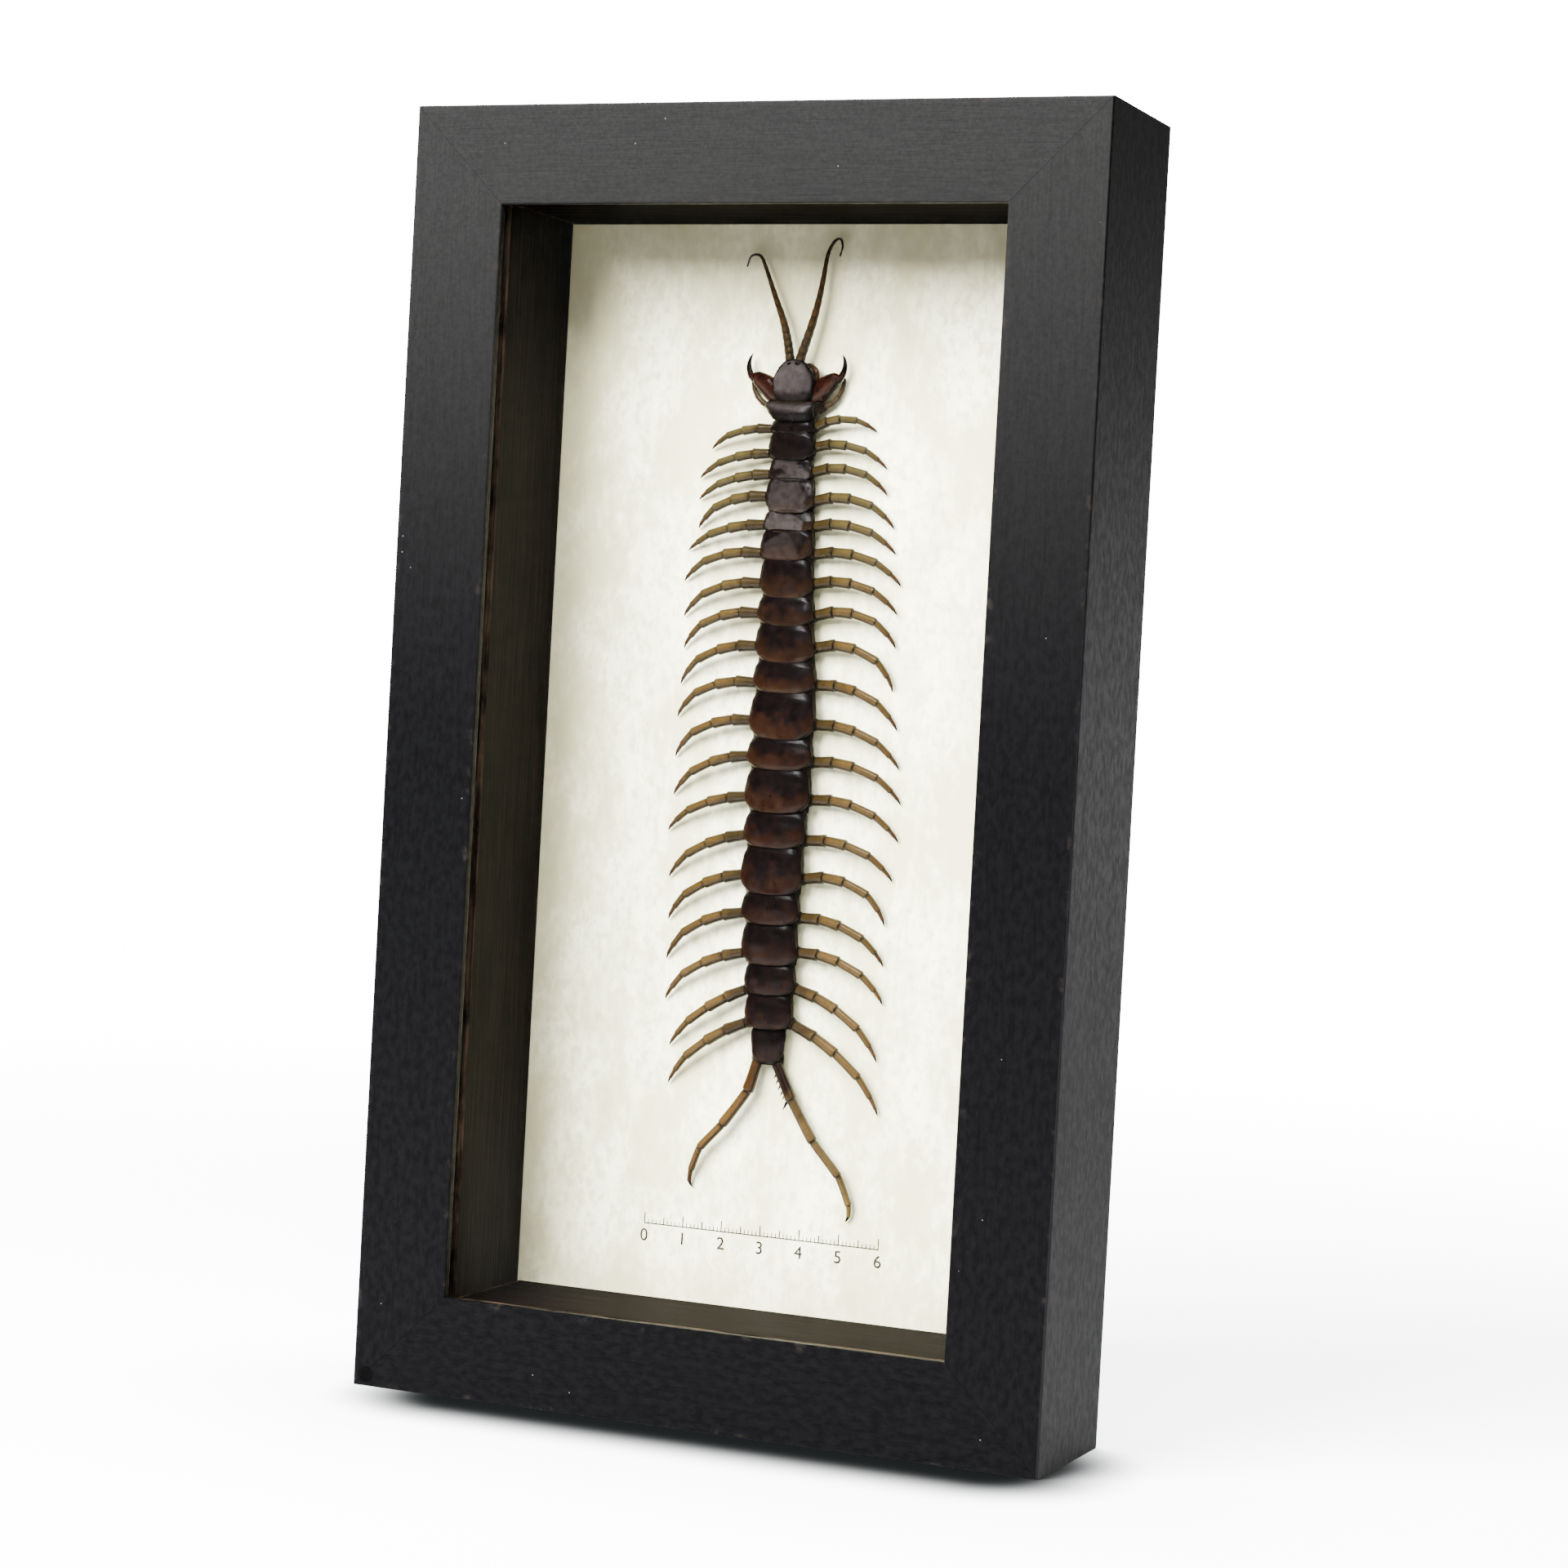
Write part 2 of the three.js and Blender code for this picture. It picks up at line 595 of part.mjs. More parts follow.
/** The glass, the strips behind it and the paper-faced board that closes the frame. */
function addLining(parent) {
  const side = frameWidth / 2 - mouldingFace + rabbetWidth - gap;
  const low = mouldingFace - rabbetWidth + gap;
  const high = frameHeight - low;
  const stripSide = frameWidth / 2 - linerFace;
  const stripDepth = [linerStart, paperDepth - gap];
  const glassDepth = [lipThickness + gap, lipThickness + gap + glassThickness];
  addFlat(parent, 'glass_pane', 'glass', [-side, side], [low, high], glassDepth);
  addFlat(parent, 'liner_left', 'linerWood', [-side, -stripSide], [low, high], stripDepth);
  addFlat(parent, 'liner_right', 'linerWood', [stripSide, side], [low, high], stripDepth);
  const across = [-stripSide + gap, stripSide - gap];
  addFlat(parent, 'liner_bottom', 'linerWood', across, [low, linerFace], stripDepth);
  addFlat(parent, 'liner_top', 'linerWood', across, [frameHeight - linerFace, high], stripDepth);
  const boardDepth = [paperDepth, paperDepth + boardThickness];
  addFlat(parent, 'paper_board', 'paper', [-side, side], [low, high], boardDepth);
}

/** The trunk in three lengths, each with the hips of its own legs. */
function addTrunk(parent) {
  const names = ['trunk_front', 'trunk_middle', 'trunk_rear'];
  const bounds = [0, ...trunkSplits, plateCount];
  names.forEach((name, length) => {
    const [first, end] = [bounds[length], bounds[length + 1]];
    let solid = solidOf(trunkGeometry(first, end));
    for (let plate = first; plate < end; plate += 1) {
      solid = solid.add(joined([hipGeometry(plate, -1), hipGeometry(plate, 1)]));
    }
    if (first === 0) solid = solid.subtract(headCore(gap));
    parent.add(mesh(name, geometryOf(solid), 'plates'));
  });
}

/** Both legs of every plate, numbered from the head. */
function addLegs(parent) {
  for (let plate = 0; plate < plateCount; plate += 1) {
    const number = String(plate + 1).padStart(2, '0');
    const finish = plate === plateCount - 1 ? 'trailingLegs' : 'legs';
    parent.add(mesh(`leg_left_${number}`, legGeometry(plate, -1), finish));
    parent.add(mesh(`leg_right_${number}`, legGeometry(plate, 1), finish));
  }
}

/** The head with its antennae and pincers. */
function addHead(parent) {
  parent.add(mesh('head', headGeometry(), 'head'));
  parent.add(mesh('antenna_left', antennaGeometry(antennaLeft), 'antennae'));
  parent.add(mesh('antenna_right', antennaGeometry(antennaRight), 'antennae'));
  parent.add(mesh('pincer_left', pincerGeometry(-1), 'pincers'));
  parent.add(mesh('pincer_right', pincerGeometry(1), 'pincers'));
}

const group = new THREE.Group();
addRails(group);
addLining(group);

const animal = new THREE.Group();
animal.rotation.x = Math.PI / 2;
animal.position.y = paperDepth - frameDepth / 2;
addTrunk(animal);
addHead(animal);
addLegs(animal);
group.add(animal);

export default group;
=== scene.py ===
"""A dried giant centipede, spread flat on cream paper in a deep frame of black stained wood.

Lengths are in millimetres until a mesh is finished, and the finished meshes are in metres.
The frame is built in its own axes: x to the right, y to the back, z up. The animal is built lying
down: x across, y from tail to head, z away from the paper.
"""
from __future__ import annotations

import logging
import math
import random
from dataclasses import dataclass, field
from enum import Enum
from functools import reduce
from typing import Callable, Iterable, Sequence

import bmesh
import bpy
from mathutils import Matrix, Vector, noise

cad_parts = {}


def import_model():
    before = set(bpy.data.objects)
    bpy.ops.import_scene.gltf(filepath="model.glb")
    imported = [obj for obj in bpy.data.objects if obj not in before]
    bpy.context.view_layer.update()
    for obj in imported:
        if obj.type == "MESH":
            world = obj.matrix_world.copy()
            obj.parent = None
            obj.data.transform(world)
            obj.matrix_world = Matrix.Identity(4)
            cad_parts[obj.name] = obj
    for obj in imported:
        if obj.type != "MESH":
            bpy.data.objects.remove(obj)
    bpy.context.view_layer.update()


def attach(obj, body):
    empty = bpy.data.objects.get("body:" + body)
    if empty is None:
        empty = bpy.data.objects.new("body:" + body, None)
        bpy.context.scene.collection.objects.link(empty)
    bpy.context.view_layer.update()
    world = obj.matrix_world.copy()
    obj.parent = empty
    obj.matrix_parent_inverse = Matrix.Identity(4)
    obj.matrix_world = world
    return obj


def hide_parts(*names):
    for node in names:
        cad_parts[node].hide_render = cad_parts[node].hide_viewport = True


LOG = logging.getLogger("centipede")

Colour = tuple[float, float, float]
Pairs = Sequence[tuple[float, float]]
Feed = bpy.types.NodeSocket | float | Sequence[float]

MM = 0.001
OUTWARDS = Vector((0.0, 0.0, 1.0))
PAPER_BEHIND_MIDDLE = 18.6
FRAME_AXES = Matrix.Scale(MM, 4)
ANIMAL_AXES = (
    Matrix.Translation((0.0, PAPER_BEHIND_MIDDLE * MM, 0.0))
    @ Matrix.Scale(MM, 4)
    @ Matrix.Rotation(math.radians(90.0), 4, "X")
)


class Side(Enum):
    """The animal's left or right, which are also the viewer's."""

    LEFT = -1
    RIGHT = 1

    @property
    def word(self) -> str:
        """The side's name in a node's name."""
        return self.name.lower()


class Grain(Enum):
    """The way the fibres of a piece of wood run."""

    ACROSS = (0.0, math.radians(90.0), 0.0)
    UPRIGHT = (0.0, 0.0, 0.0)


# Small sums


def smooth_step(value: float, low: float, high: float) -> float:
    """A soft step.

    Args:
        value: where to read it.
        low: where it leaves 0.
        high: where it reaches 1.

    Returns:
        The step's height.
    """
    share = min(1.0, max(0.0, (value - low) / (high - low)))
    return share * share * (3.0 - 2.0 * share)


def smooth_value(pairs: Pairs, position: float) -> float:
    """A value read from position and value pairs, smoothed between them.

    Args:
        pairs: the pairs, in rising order.
        position: where to read.

    Returns:
        The value there.
    """
    if position <= pairs[0][0]:
        return pairs[0][1]
    for (low, start), (high, end) in zip(pairs, pairs[1:]):
        if position < high:
            return start + (end - start) * smooth_step(position, low, high)
    return pairs[-1][1]


def spread_value(values: Sequence[float], share: float) -> float:
    """A value read from evenly spread values.

    Args:
        values: the values.
        share: where to read, from 0 to 1.

    Returns:
        The value there.
    """
    place = min(max(share, 0.0), 1.0) * (len(values) - 1)
    low = min(int(place), len(values) - 2)
    return values[low] + (values[low + 1] - values[low]) * (place - low)


def bell(distance: float, reach: float) -> float:
    """A soft bump that is 1 at no distance and fades over its reach."""
    return math.exp(-((distance / reach) ** 2))


# Body plan, shared by the trunk, the legs and the head


@dataclass(frozen=True)
class BodyPlan:
    """Where each back plate lies and how wide it is."""

    collar_front: float = 237.0
    lengths: tuple[float, ...] = (
        5.3, 2.9, 6.1, 4.9, 7.5, 4.5, 6.6, 8.9, 6.5, 8.6, 7.2,
        10.8, 7.2, 10.0, 8.3, 10.9, 7.1, 9.5, 7.0, 8.0, 8.4,
    )
    half_widths: tuple[float, ...] = (
        7.3, 5.4, 5.7, 5.3, 6.0, 6.1, 6.6, 6.6, 7.0, 7.3, 7.7,
        8.05, 8.05, 8.1, 7.7, 7.6, 7.2, 6.9, 6.3, 5.9, 4.1,
    )
    midline: tuple[tuple[float, float], ...] = (
        (70, 0.4), (88, 0.55), (100, 0.4), (112, -0.25), (126, -0.4), (145, 0.05),
        (170, 0.2), (186, -0.5), (203, -1.1), (230, -1.4), (260, -1.5),
    )
    height_base: float = 1.4
    height_per_half_width: float = 0.6
    belly: float = 0.3
    splits: tuple[int, int] = (7, 14)

    @property
    def count(self) -> int:
        """How many back plates there are."""
        return len(self.lengths)

    def middle(self, up: float) -> float:
        """The body's middle line at a height up the paper."""
        return smooth_value(self.midline, up)

    def front(self, plate: int) -> float:
        """The height up the paper of a plate's front edge."""
        return self.collar_front - sum(self.lengths[:plate])

    def height(self, plate: int) -> float:
        """How high a plate's back stands at its fullest place."""
        return self.height_base + self.height_per_half_width * self.half_widths[plate]

    def node(self, plate: int) -> str:
        """The solid that a plate belongs to."""
        return ("trunk_front", "trunk_middle", "trunk_rear")[sum(plate >= split for split in self.splits)]


PLAN = BodyPlan()


# Node bench and finishes


class NodeBench:
    """Adds nodes to a tree and joins them."""

    def __init__(self, tree: bpy.types.NodeTree) -> None:
        """Empties a tree and keeps it.

        Args:
            tree: the material's or group's tree.
        """
        self.tree = tree
        tree.nodes.clear()

    def feed(self, socket: bpy.types.NodeSocket, value: Feed) -> None:
        """Gives a socket a link or a plain value.

        Args:
            socket: the socket to feed.
            value: another node's output, or a number or colour.
        """
        if isinstance(value, bpy.types.NodeSocket):
            self.tree.links.new(value, socket)
        else:
            socket.default_value = value

    def add(self, kind: str, feeds: dict | None = None, **settings: object) -> bpy.types.Node:
        """Adds one node.

        Args:
            kind: the node's type name without its ShaderNode start.
            feeds: input name or number to what feeds it.
            settings: the node's own settings.

        Returns:
            The node.
        """
        node = self.tree.nodes.new("ShaderNode" + kind)
        for name, value in settings.items():
            setattr(node, name, value)
        for name, value in (feeds or {}).items():
            self.feed(node.inputs[name], value)
        return node

    def place(self) -> bpy.types.NodeSocket:
        """The point's place on the object, in metres."""
        return self.add("TexCoord").outputs["Object"]

    def mark(self, name: str) -> bpy.types.NodeSocket:
        """A number stored on the mesh under a name."""
        return self.add("Attribute", attribute_name=name).outputs["Fac"]

    def sums(self, operation: str, first: Feed, second: Feed = 0.5) -> bpy.types.NodeSocket:
        """One sum.

        Args:
            operation: the Math node's operation.
            first: the first number.
            second: the second number.

        Returns:
            The result.
        """
        return self.add("Math", {0: first, 1: second}, operation=operation).outputs[0]

    def times(self, *factors: Feed) -> bpy.types.NodeSocket:
        """The product of numbers."""
        return reduce(lambda first, second: self.sums("MULTIPLY", first, second), factors)

    def plus(self, *terms: Feed) -> bpy.types.NodeSocket:
        """The total of numbers."""
        return reduce(lambda first, second: self.sums("ADD", first, second), terms)

    def step(self, value: Feed, low: float, high: float) -> bpy.types.NodeSocket:
        """A soft step from 0 at low to 1 at high.

        Args:
            value: the number to test.
            low: where the step leaves 0.
            high: where it reaches 1.

        Returns:
            The step.
        """
        feeds = {"Value": value, "From Min": low, "From Max": high}
        return self.add("MapRange", feeds, interpolation_type="SMOOTHSTEP").outputs["Result"]

    def level(self, value: Feed, low: float, high: float) -> bpy.types.NodeSocket:
        """A 0 to 1 number carried over to another range.

        Args:
            value: the number.
            low: what 0 becomes.
            high: what 1 becomes.

        Returns:
            The carried number.
        """
        feeds = {"Value": value, "To Min": low, "To Max": high}
        return self.add("MapRange", feeds).outputs["Result"]

    def mix(self, share: Feed, first: Feed, second: Feed) -> bpy.types.NodeSocket:
        """Two colours mixed.

        Args:
            share: how much of the second.
            first: the first colour.
            second: the second colour.

        Returns:
            The mixed colour.
        """
        feeds = {0: share, 6: with_alpha(first), 7: with_alpha(second)}
        return self.add("Mix", feeds, data_type="RGBA").outputs[2]

    def noise(self, place: Feed, scale: Feed, detail: float = 3.0, rough: float = 0.5) -> bpy.types.NodeSocket:
        """A cloudy pattern.

        Args:
            place: where it is read.
            scale: how fine it is.
            detail: how many finer layers it has.
            rough: how strong these are.

        Returns:
            The pattern, around 0.5.
        """
        feeds = {"Vector": place, "Scale": scale, "Detail": detail, "Roughness": rough}
        return self.add("TexNoise", feeds).outputs["Fac"]

    def stretch(
        self, place: Feed, scale: Sequence[float], turn: Sequence[float] = (0, 0, 0),
    ) -> bpy.types.NodeSocket:
        """A place turned and stretched before a pattern is read there.

        Args:
            place: the place.
            scale: the stretch along each axis.
            turn: the turn about each axis.

        Returns:
            The new place.
        """
        return self.add("Mapping", {"Vector": place, "Rotation": turn, "Scale": scale}).outputs[0]

    def use(self, group: bpy.types.NodeTree, feeds: dict) -> bpy.types.Node:
        """Places a node group.

        Args:
            group: the group.
            feeds: input name to what feeds it.

        Returns:
            The group's node.
        """
        node = self.tree.nodes.new("ShaderNodeGroup")
        node.node_tree = group
        for name, value in feeds.items():
            self.feed(node.inputs[name], value)
        return node

    def bump(self, height: Feed, depth: float, strength: float = 1.0) -> bpy.types.NodeSocket:
        """A normal bent by a height.

        Args:
            height: the height, from 0 to 1.
            depth: how deep a height of 1 is, in metres.
            strength: how much of it shows.

        Returns:
            The normal.
        """
        feeds = {"Height": height, "Distance": depth, "Strength": strength}
        return self.add("Bump", feeds).outputs[0]


def with_alpha(colour: Feed) -> Feed:
    """A colour with the alpha that a colour socket wants."""
    return colour if isinstance(colour, bpy.types.NodeSocket) else (*colour, 1.0)


class SharedEffects:
    """The node groups that more than one finish uses, each built once."""

    _made: dict[str, bpy.types.NodeTree] = {}

    @classmethod
    def _group(
        cls,
        name: str,
        inputs: dict[str, tuple[str, Feed]],
        outputs: dict[str, str],
        build: Callable[[NodeBench, bpy.types.Node, bpy.types.Node], None],
    ) -> bpy.types.NodeTree:
        """Builds a group the first time it is asked for.

        Args:
            name: the group's name.
            inputs: input name to its socket type and first value.
            outputs: output name to its socket type.
            build: fills the group, given its bench and its input and output nodes.

        Returns:
            The group.
        """
        if name in cls._made:
            return cls._made[name]
        tree = bpy.data.node_groups.new(name, "ShaderNodeTree")
        for label, (kind, value) in inputs.items():
            socket = tree.interface.new_socket(label, in_out="INPUT", socket_type="NodeSocket" + kind)
            if value is not None:
                socket.default_value = value
        for label, kind in outputs.items():
            tree.interface.new_socket(label, in_out="OUTPUT", socket_type="NodeSocket" + kind)
        bench = NodeBench(tree)
        start = tree.nodes.new("NodeGroupInput")
        end = tree.nodes.new("NodeGroupOutput")
        build(bench, start, end)
        cls._made[name] = tree
        return tree

    @classmethod
    def mottle(cls) -> bpy.types.NodeTree:
        """Two colours that drift into each other in soft patches.

        Returns:
            The group.
        """

        def build(bench: NodeBench, start: bpy.types.Node, end: bpy.types.Node) -> None:
            """Fills the group.

            Args:
                bench: the group's bench.
                start: its input node.
                end: its output node.
            """
            place, scale = start.outputs["Place"], start.outputs["Scale"]
            broad = bench.noise(place, scale, 4.0, 0.6)
            fine = bench.noise(place, bench.times(scale, 6.3), 3.0, 0.55)
            both = bench.plus(bench.times(broad, 0.75), bench.times(fine, 0.25))
            mask = bench.step(both, 0.38, 0.62)
            bench.feed(end.inputs["Colour"], bench.mix(mask, start.outputs["Dark"], start.outputs["Light"]))
            bench.feed(end.inputs["Mask"], mask)

        inputs = {
            "Place": ("Vector", None), "Scale": ("Float", 100.0),
            "Dark": ("Color", (0, 0, 0, 1)), "Light": ("Color", (1, 1, 1, 1)),
        }
        return cls._group("soft_mottle", inputs, {"Colour": "Color", "Mask": "Float"}, build)

    @classmethod
    def specks(cls) -> bpy.types.NodeTree:
        """Small round specks, scattered thinly.

        Returns:
            The group.
        """

        def build(bench: NodeBench, start: bpy.types.Node, end: bpy.types.Node) -> None:
            """Fills the group.

            Args:
                bench: the group's bench.
                start: its input node.
                end: its output node.
            """
            feeds = {"Vector": start.outputs["Place"], "Scale": start.outputs["Scale"], "Randomness": 1.0}
            cells = bench.add("TexVoronoi", feeds, feature="F1")
            near = bench.sums("LESS_THAN", cells.outputs["Distance"], start.outputs["Size"])
            split = bench.add("SeparateColor", {0: cells.outputs["Color"]})
            chosen = bench.sums("LESS_THAN", split.outputs[0], start.outputs["Share"])
            bench.feed(end.inputs["Mask"], bench.times(near, chosen))

        inputs = {
            "Place": ("Vector", None), "Scale": ("Float", 400.0),
            "Size": ("Float", 0.1), "Share": ("Float", 0.2),
        }
        return cls._group("thin_specks", inputs, {"Mask": "Float"}, build)

    @classmethod
    def fibres(cls) -> bpy.types.NodeTree:
        """Long fine wood fibres and open pores along the z of the place.

        Returns:
            The group.
        """

        def build(bench: NodeBench, start: bpy.types.Node, end: bpy.types.Node) -> None:
            """Fills the group.

            Args:
                bench: the group's bench.
                start: its input node.
                end: its output node.
            """
            place = start.outputs["Place"]
            strands = bench.noise(bench.stretch(place, (2600.0, 2600.0, 130.0)), 1.0, 4.0, 0.6)
            pores = bench.noise(bench.stretch(place, (1500.0, 1500.0, 75.0)), 1.0, 2.0, 0.5)
            bench.feed(end.inputs["Strands"], strands)
            bench.feed(end.inputs["Pores"], bench.step(pores, 0.6, 0.72))

        outputs = {"Strands": "Float", "Pores": "Float"}
        return cls._group("wood_fibres", {"Place": ("Vector", None)}, outputs, build)

    @classmethod
    def horn(cls) -> bpy.types.NodeTree:
        """The unevenness of dried shell: patchy gloss and fine dimples.

        Returns:
            The group.
        """

        def build(bench: NodeBench, start: bpy.types.Node, end: bpy.types.Node) -> None:
            """Fills the group.

            Args:
                bench: the group's bench.
                start: its input node.
                end: its output node.
            """
            place = start.outputs["Place"]
            patches = bench.noise(place, 420.0, 3.0, 0.6)
            dimples = bench.noise(place, 2400.0, 3.0, 0.6)
            folds = bench.noise(place, 700.0, 2.0, 0.5)
            rough = bench.add("MapRange", {
                "Value": patches, "From Min": 0.3, "From Max": 0.7,
                "To Min": start.outputs["Gloss"], "To Max": start.outputs["Dull"],
            })
            bench.feed(end.inputs["Roughness"], rough.outputs[0])
            bench.feed(end.inputs["Height"], bench.plus(bench.times(dimples, 0.3), bench.times(folds, 0.7)))

        inputs = {"Place": ("Vector", None), "Gloss": ("Float", 0.25), "Dull": ("Float", 0.45)}
        return cls._group("dried_horn", inputs, {"Roughness": "Float", "Height": "Float"}, build)


@dataclass(frozen=True)
class Finish:
    """A finish: it makes one material and knows the slot it belongs to."""

    name: str
    slot: str

    def material(self) -> bpy.types.Material:
        """The finish's material, made the first time it is asked for.

        Returns:
            The material.
        """
        made = bpy.data.materials.get(self.name)
        if made is None:
            made = bpy.data.materials.new(self.name)
            made.use_nodes = True
            self.dress(NodeBench(made.node_tree))
        return made

    def dress(self, bench: NodeBench) -> None:
        """Fills the material's tree.

        Args:
            bench: the bench of the material's tree.
        """
        raise NotImplementedError

    @staticmethod
    def surface(bench: NodeBench, feeds: dict) -> None:
        """Ends a tree in a plain surface.

        Args:
            bench: the bench.
            feeds: the surface's inputs.
        """
        shader = bench.add("BsdfPrincipled", feeds)
        bench.add("OutputMaterial", {"Surface": shader.outputs[0]})

    def horn(self, bench: NodeBench, gloss: float, dull: float, bump: tuple[float, float], feeds: dict) -> None:
        """Ends a tree in the surface of dried shell.

        Args:
            bench: the bench.
            gloss: the roughness of its glossiest places.
            dull: the roughness of its dullest places.
            bump: how deep its folds are, in metres, and how much of them shows.
            feeds: the surface's other inputs.
        """
        shell = bench.use(SharedEffects.horn(), {"Place": bench.place(), "Gloss": gloss, "Dull": dull}).outputs
        bent = bench.bump(shell["Height"], *bump)
        self.surface(bench, {"Roughness": shell["Roughness"], "Normal": bent, **feeds})

    @staticmethod
    def mottle(bench: NodeBench, place: Feed, scale: float, dark: Feed, light: Feed) -> bpy.types.Node:
        """Two colours in soft patches.

        Args:
            bench: the bench.
            place: where the patches are read.
            scale: how fine they are.
            dark: the one colour.
            light: the other colour.

        Returns:
            The patches' node, with the outputs Colour and Mask.
        """
        feeds = {"Place": place, "Scale": scale, "Dark": with_alpha(dark), "Light": with_alpha(light)}
        return bench.use(SharedEffects.mottle(), feeds)


@dataclass(frozen=True)
class StainedWood(Finish):
    """Black stain over open-grained wood, matt, with a little dust and a painted grey sheen."""

    grain: Grain = Grain.UPRIGHT
    dark: Colour = (0.0007, 0.0007, 0.0008)
    light: Colour = (0.0017, 0.0017, 0.0020)
    # Painted sheen: a grey that stands in for the lamps' sheen, high on the front and low on the outer sides.
    film: Colour = (0.0079, 0.0079, 0.0077)
    dust: Colour = (0.10, 0.10, 0.095)
    plug: Colour = (0.0002, 0.0002, 0.0002)
    rubbed: Colour = (0.0110, 0.0098, 0.0080)
    outer_side: float = 0.0845
    front_face: float = -0.0195
    plug_at: tuple[float, float, float] = (-0.0817, 0.0, 0.0027)
    plug_radius: float = 0.0021

    def dress(self, bench: NodeBench) -> None:
        """Fills the material's tree.

        Args:
            bench: the bench of the material's tree.
        """
        place = bench.place()
        along = bench.stretch(place, (1.0, 1.0, 1.0), self.grain.value)
        fibres = bench.use(SharedEffects.fibres(), {"Place": along})
        clouds = self.mottle(bench, bench.stretch(along, (1.0, 1.0, 0.6)), 620.0, self.dark, self.light)
        strands = bench.step(fibres.outputs["Strands"], 0.35, 0.7)
        toned = bench.mix(bench.level(strands, 0.0, 0.35), clouds.outputs["Colour"], self.light)
        pored = bench.mix(bench.level(fibres.outputs["Pores"], 0.0, 0.6), toned, self.dark)
        axes = bench.add("SeparateXYZ", {0: place}).outputs
        # Painted sheen: the grey laid over the stain high on the front and low on the outer sides.
        film = bench.times(self._pale(bench, axes), bench.level(strands, 0.82, 1.0), self._speckle(bench))
        sheened = bench.mix(film, pored, self.film)
        plugged = bench.mix(self._plug(bench, axes), sheened, self.plug)
        worn = bench.mix(self._edge_wear(bench, place), plugged, self.rubbed)
        specks = {"Place": place, "Scale": 420.0, "Size": 0.06, "Share": 0.05}
        flecks = bench.use(SharedEffects.specks(), specks).outputs["Mask"]
        dusty = bench.mix(bench.level(flecks, 0.0, 0.7), worn, self.dust)
        height = bench.plus(fibres.outputs["Strands"], bench.times(fibres.outputs["Pores"], -0.6))
        self.surface(bench, {
            "Base Color": dusty,
            "Roughness": bench.level(clouds.outputs["Mask"], 0.60, 0.50),
            "Specular IOR Level": 0.06,
            "Normal": bench.bump(height, 0.00014, 0.5),
        })

    def _pale(self, bench: NodeBench, axes: bpy.types.NodeOutputs) -> bpy.types.NodeSocket:
        """Where painted grey sheen lies on the stain: high on the front and low on the outer sides.

        Args:
            bench: the bench.
            axes: the point's place, axis by axis.

        Returns:
            How grey the point is.
        """
        outer = bench.step(bench.sums("ABSOLUTE", axes["X"]), self.outer_side, self.outer_side + 0.0003)
        upper = bench.times(bench.step(axes["Z"], 0.14, 0.31), bench.level(outer, 1.0, 0.0))
        lower = bench.level(bench.step(axes["Z"], 0.0, 0.3), 1.35, 0.0)
        return bench.plus(upper, bench.times(outer, lower))

    @staticmethod
    def _speckle(bench: NodeBench) -> bpy.types.NodeSocket:
        """Fine uneven spots in the painted grey sheen."""
        return bench.level(bench.step(bench.noise(bench.place(), 1500.0, 3.0, 0.7), 0.35, 0.65), 0.74, 1.0)

    def _plug(self, bench: NodeBench, axes: bpy.types.NodeOutputs) -> bpy.types.NodeSocket:
        """The round plug low in the left corner of the frame's front.

        Args:
            bench: the bench.
            axes: the point's place, axis by axis.

        Returns:
            How far the point belongs to the plug.
        """
        flat = bench.add("CombineXYZ", {"X": axes["X"], "Z": axes["Z"]}).outputs[0]
        away = bench.add("VectorMath", {0: flat, 1: self.plug_at}, operation="DISTANCE").outputs["Value"]
        inside = bench.step(away, self.plug_radius, self.plug_radius - 0.0003)
        return bench.times(inside, bench.step(axes["Y"], self.front_face, self.front_face - 0.0005))

    @staticmethod
    def _edge_wear(bench: NodeBench, place: Feed) -> bpy.types.NodeSocket:
        """Rubbed places along the edges, where the mesh is marked as an edge.

        Args:
            bench: the bench.
            place: the point's place.

        Returns:
            How far the stain is rubbed off.
        """
        patches = bench.step(bench.noise(place, 260.0, 4.0, 0.65), 0.55, 0.7)
        return bench.times(bench.mark("edge"), patches, 0.55)


@dataclass(frozen=True)
class StripWood(Finish):
    """Thin brown-black stain on a strip whose front face and ends were left raw."""

    grain: Grain = Grain.UPRIGHT
    wall: Colour = (0.0008, 0.0005, 0.0004)
    wall_light: Colour = (0.0095, 0.0070, 0.0056)
    raw: Colour = (0.048, 0.031, 0.019)
    raw_dark: Colour = (0.0130, 0.0095, 0.0065)
    shine: float = 0.025

    def dress(self, bench: NodeBench) -> None:
        """Fills the material's tree.

        Args:
            bench: the bench of the material's tree.
        """
        place = bench.place()
        along = bench.stretch(place, (1.0, 1.0, 1.0), self.grain.value)
        fibres = bench.use(SharedEffects.fibres(), {"Place": bench.stretch(along, (0.55, 0.55, 0.3))})
        strands = bench.step(fibres.outputs["Strands"], 0.40, 0.66)
        wall = bench.mix(strands, self.wall, self.wall_light)
        patches = bench.noise(bench.stretch(along, (1.0, 1.0, 0.3)), 300.0, 4.0, 0.6)
        bare = bench.times(bench.mark("raw"), bench.step(patches, 0.3, 0.6))
        streaked = bench.mix(strands, self.raw_dark, self.raw)
        self.surface(bench, {
            "Base Color": bench.mix(bare, wall, streaked),
            "Roughness": bench.level(strands, 0.6, 0.75),
            "Specular IOR Level": self.shine,
            "Normal": bench.bump(fibres.outputs["Strands"], 0.0002, 0.5),
        })


@dataclass(frozen=True)
class ClearGlass(Finish):
    """Thin clear glass with hardly any mirror image."""

    tint: Colour = (0.004, 0.0046, 0.0043)
    veil: float = 0.03

    def dress(self, bench: NodeBench) -> None:
        """Fills the material's tree.

        Args:
            bench: the bench of the material's tree.
        """
        feeds = {"Base Color": with_alpha(self.tint), "Roughness": 0.02, "Alpha": self.veil, "IOR": 1.45}
        self.surface(bench, feeds)


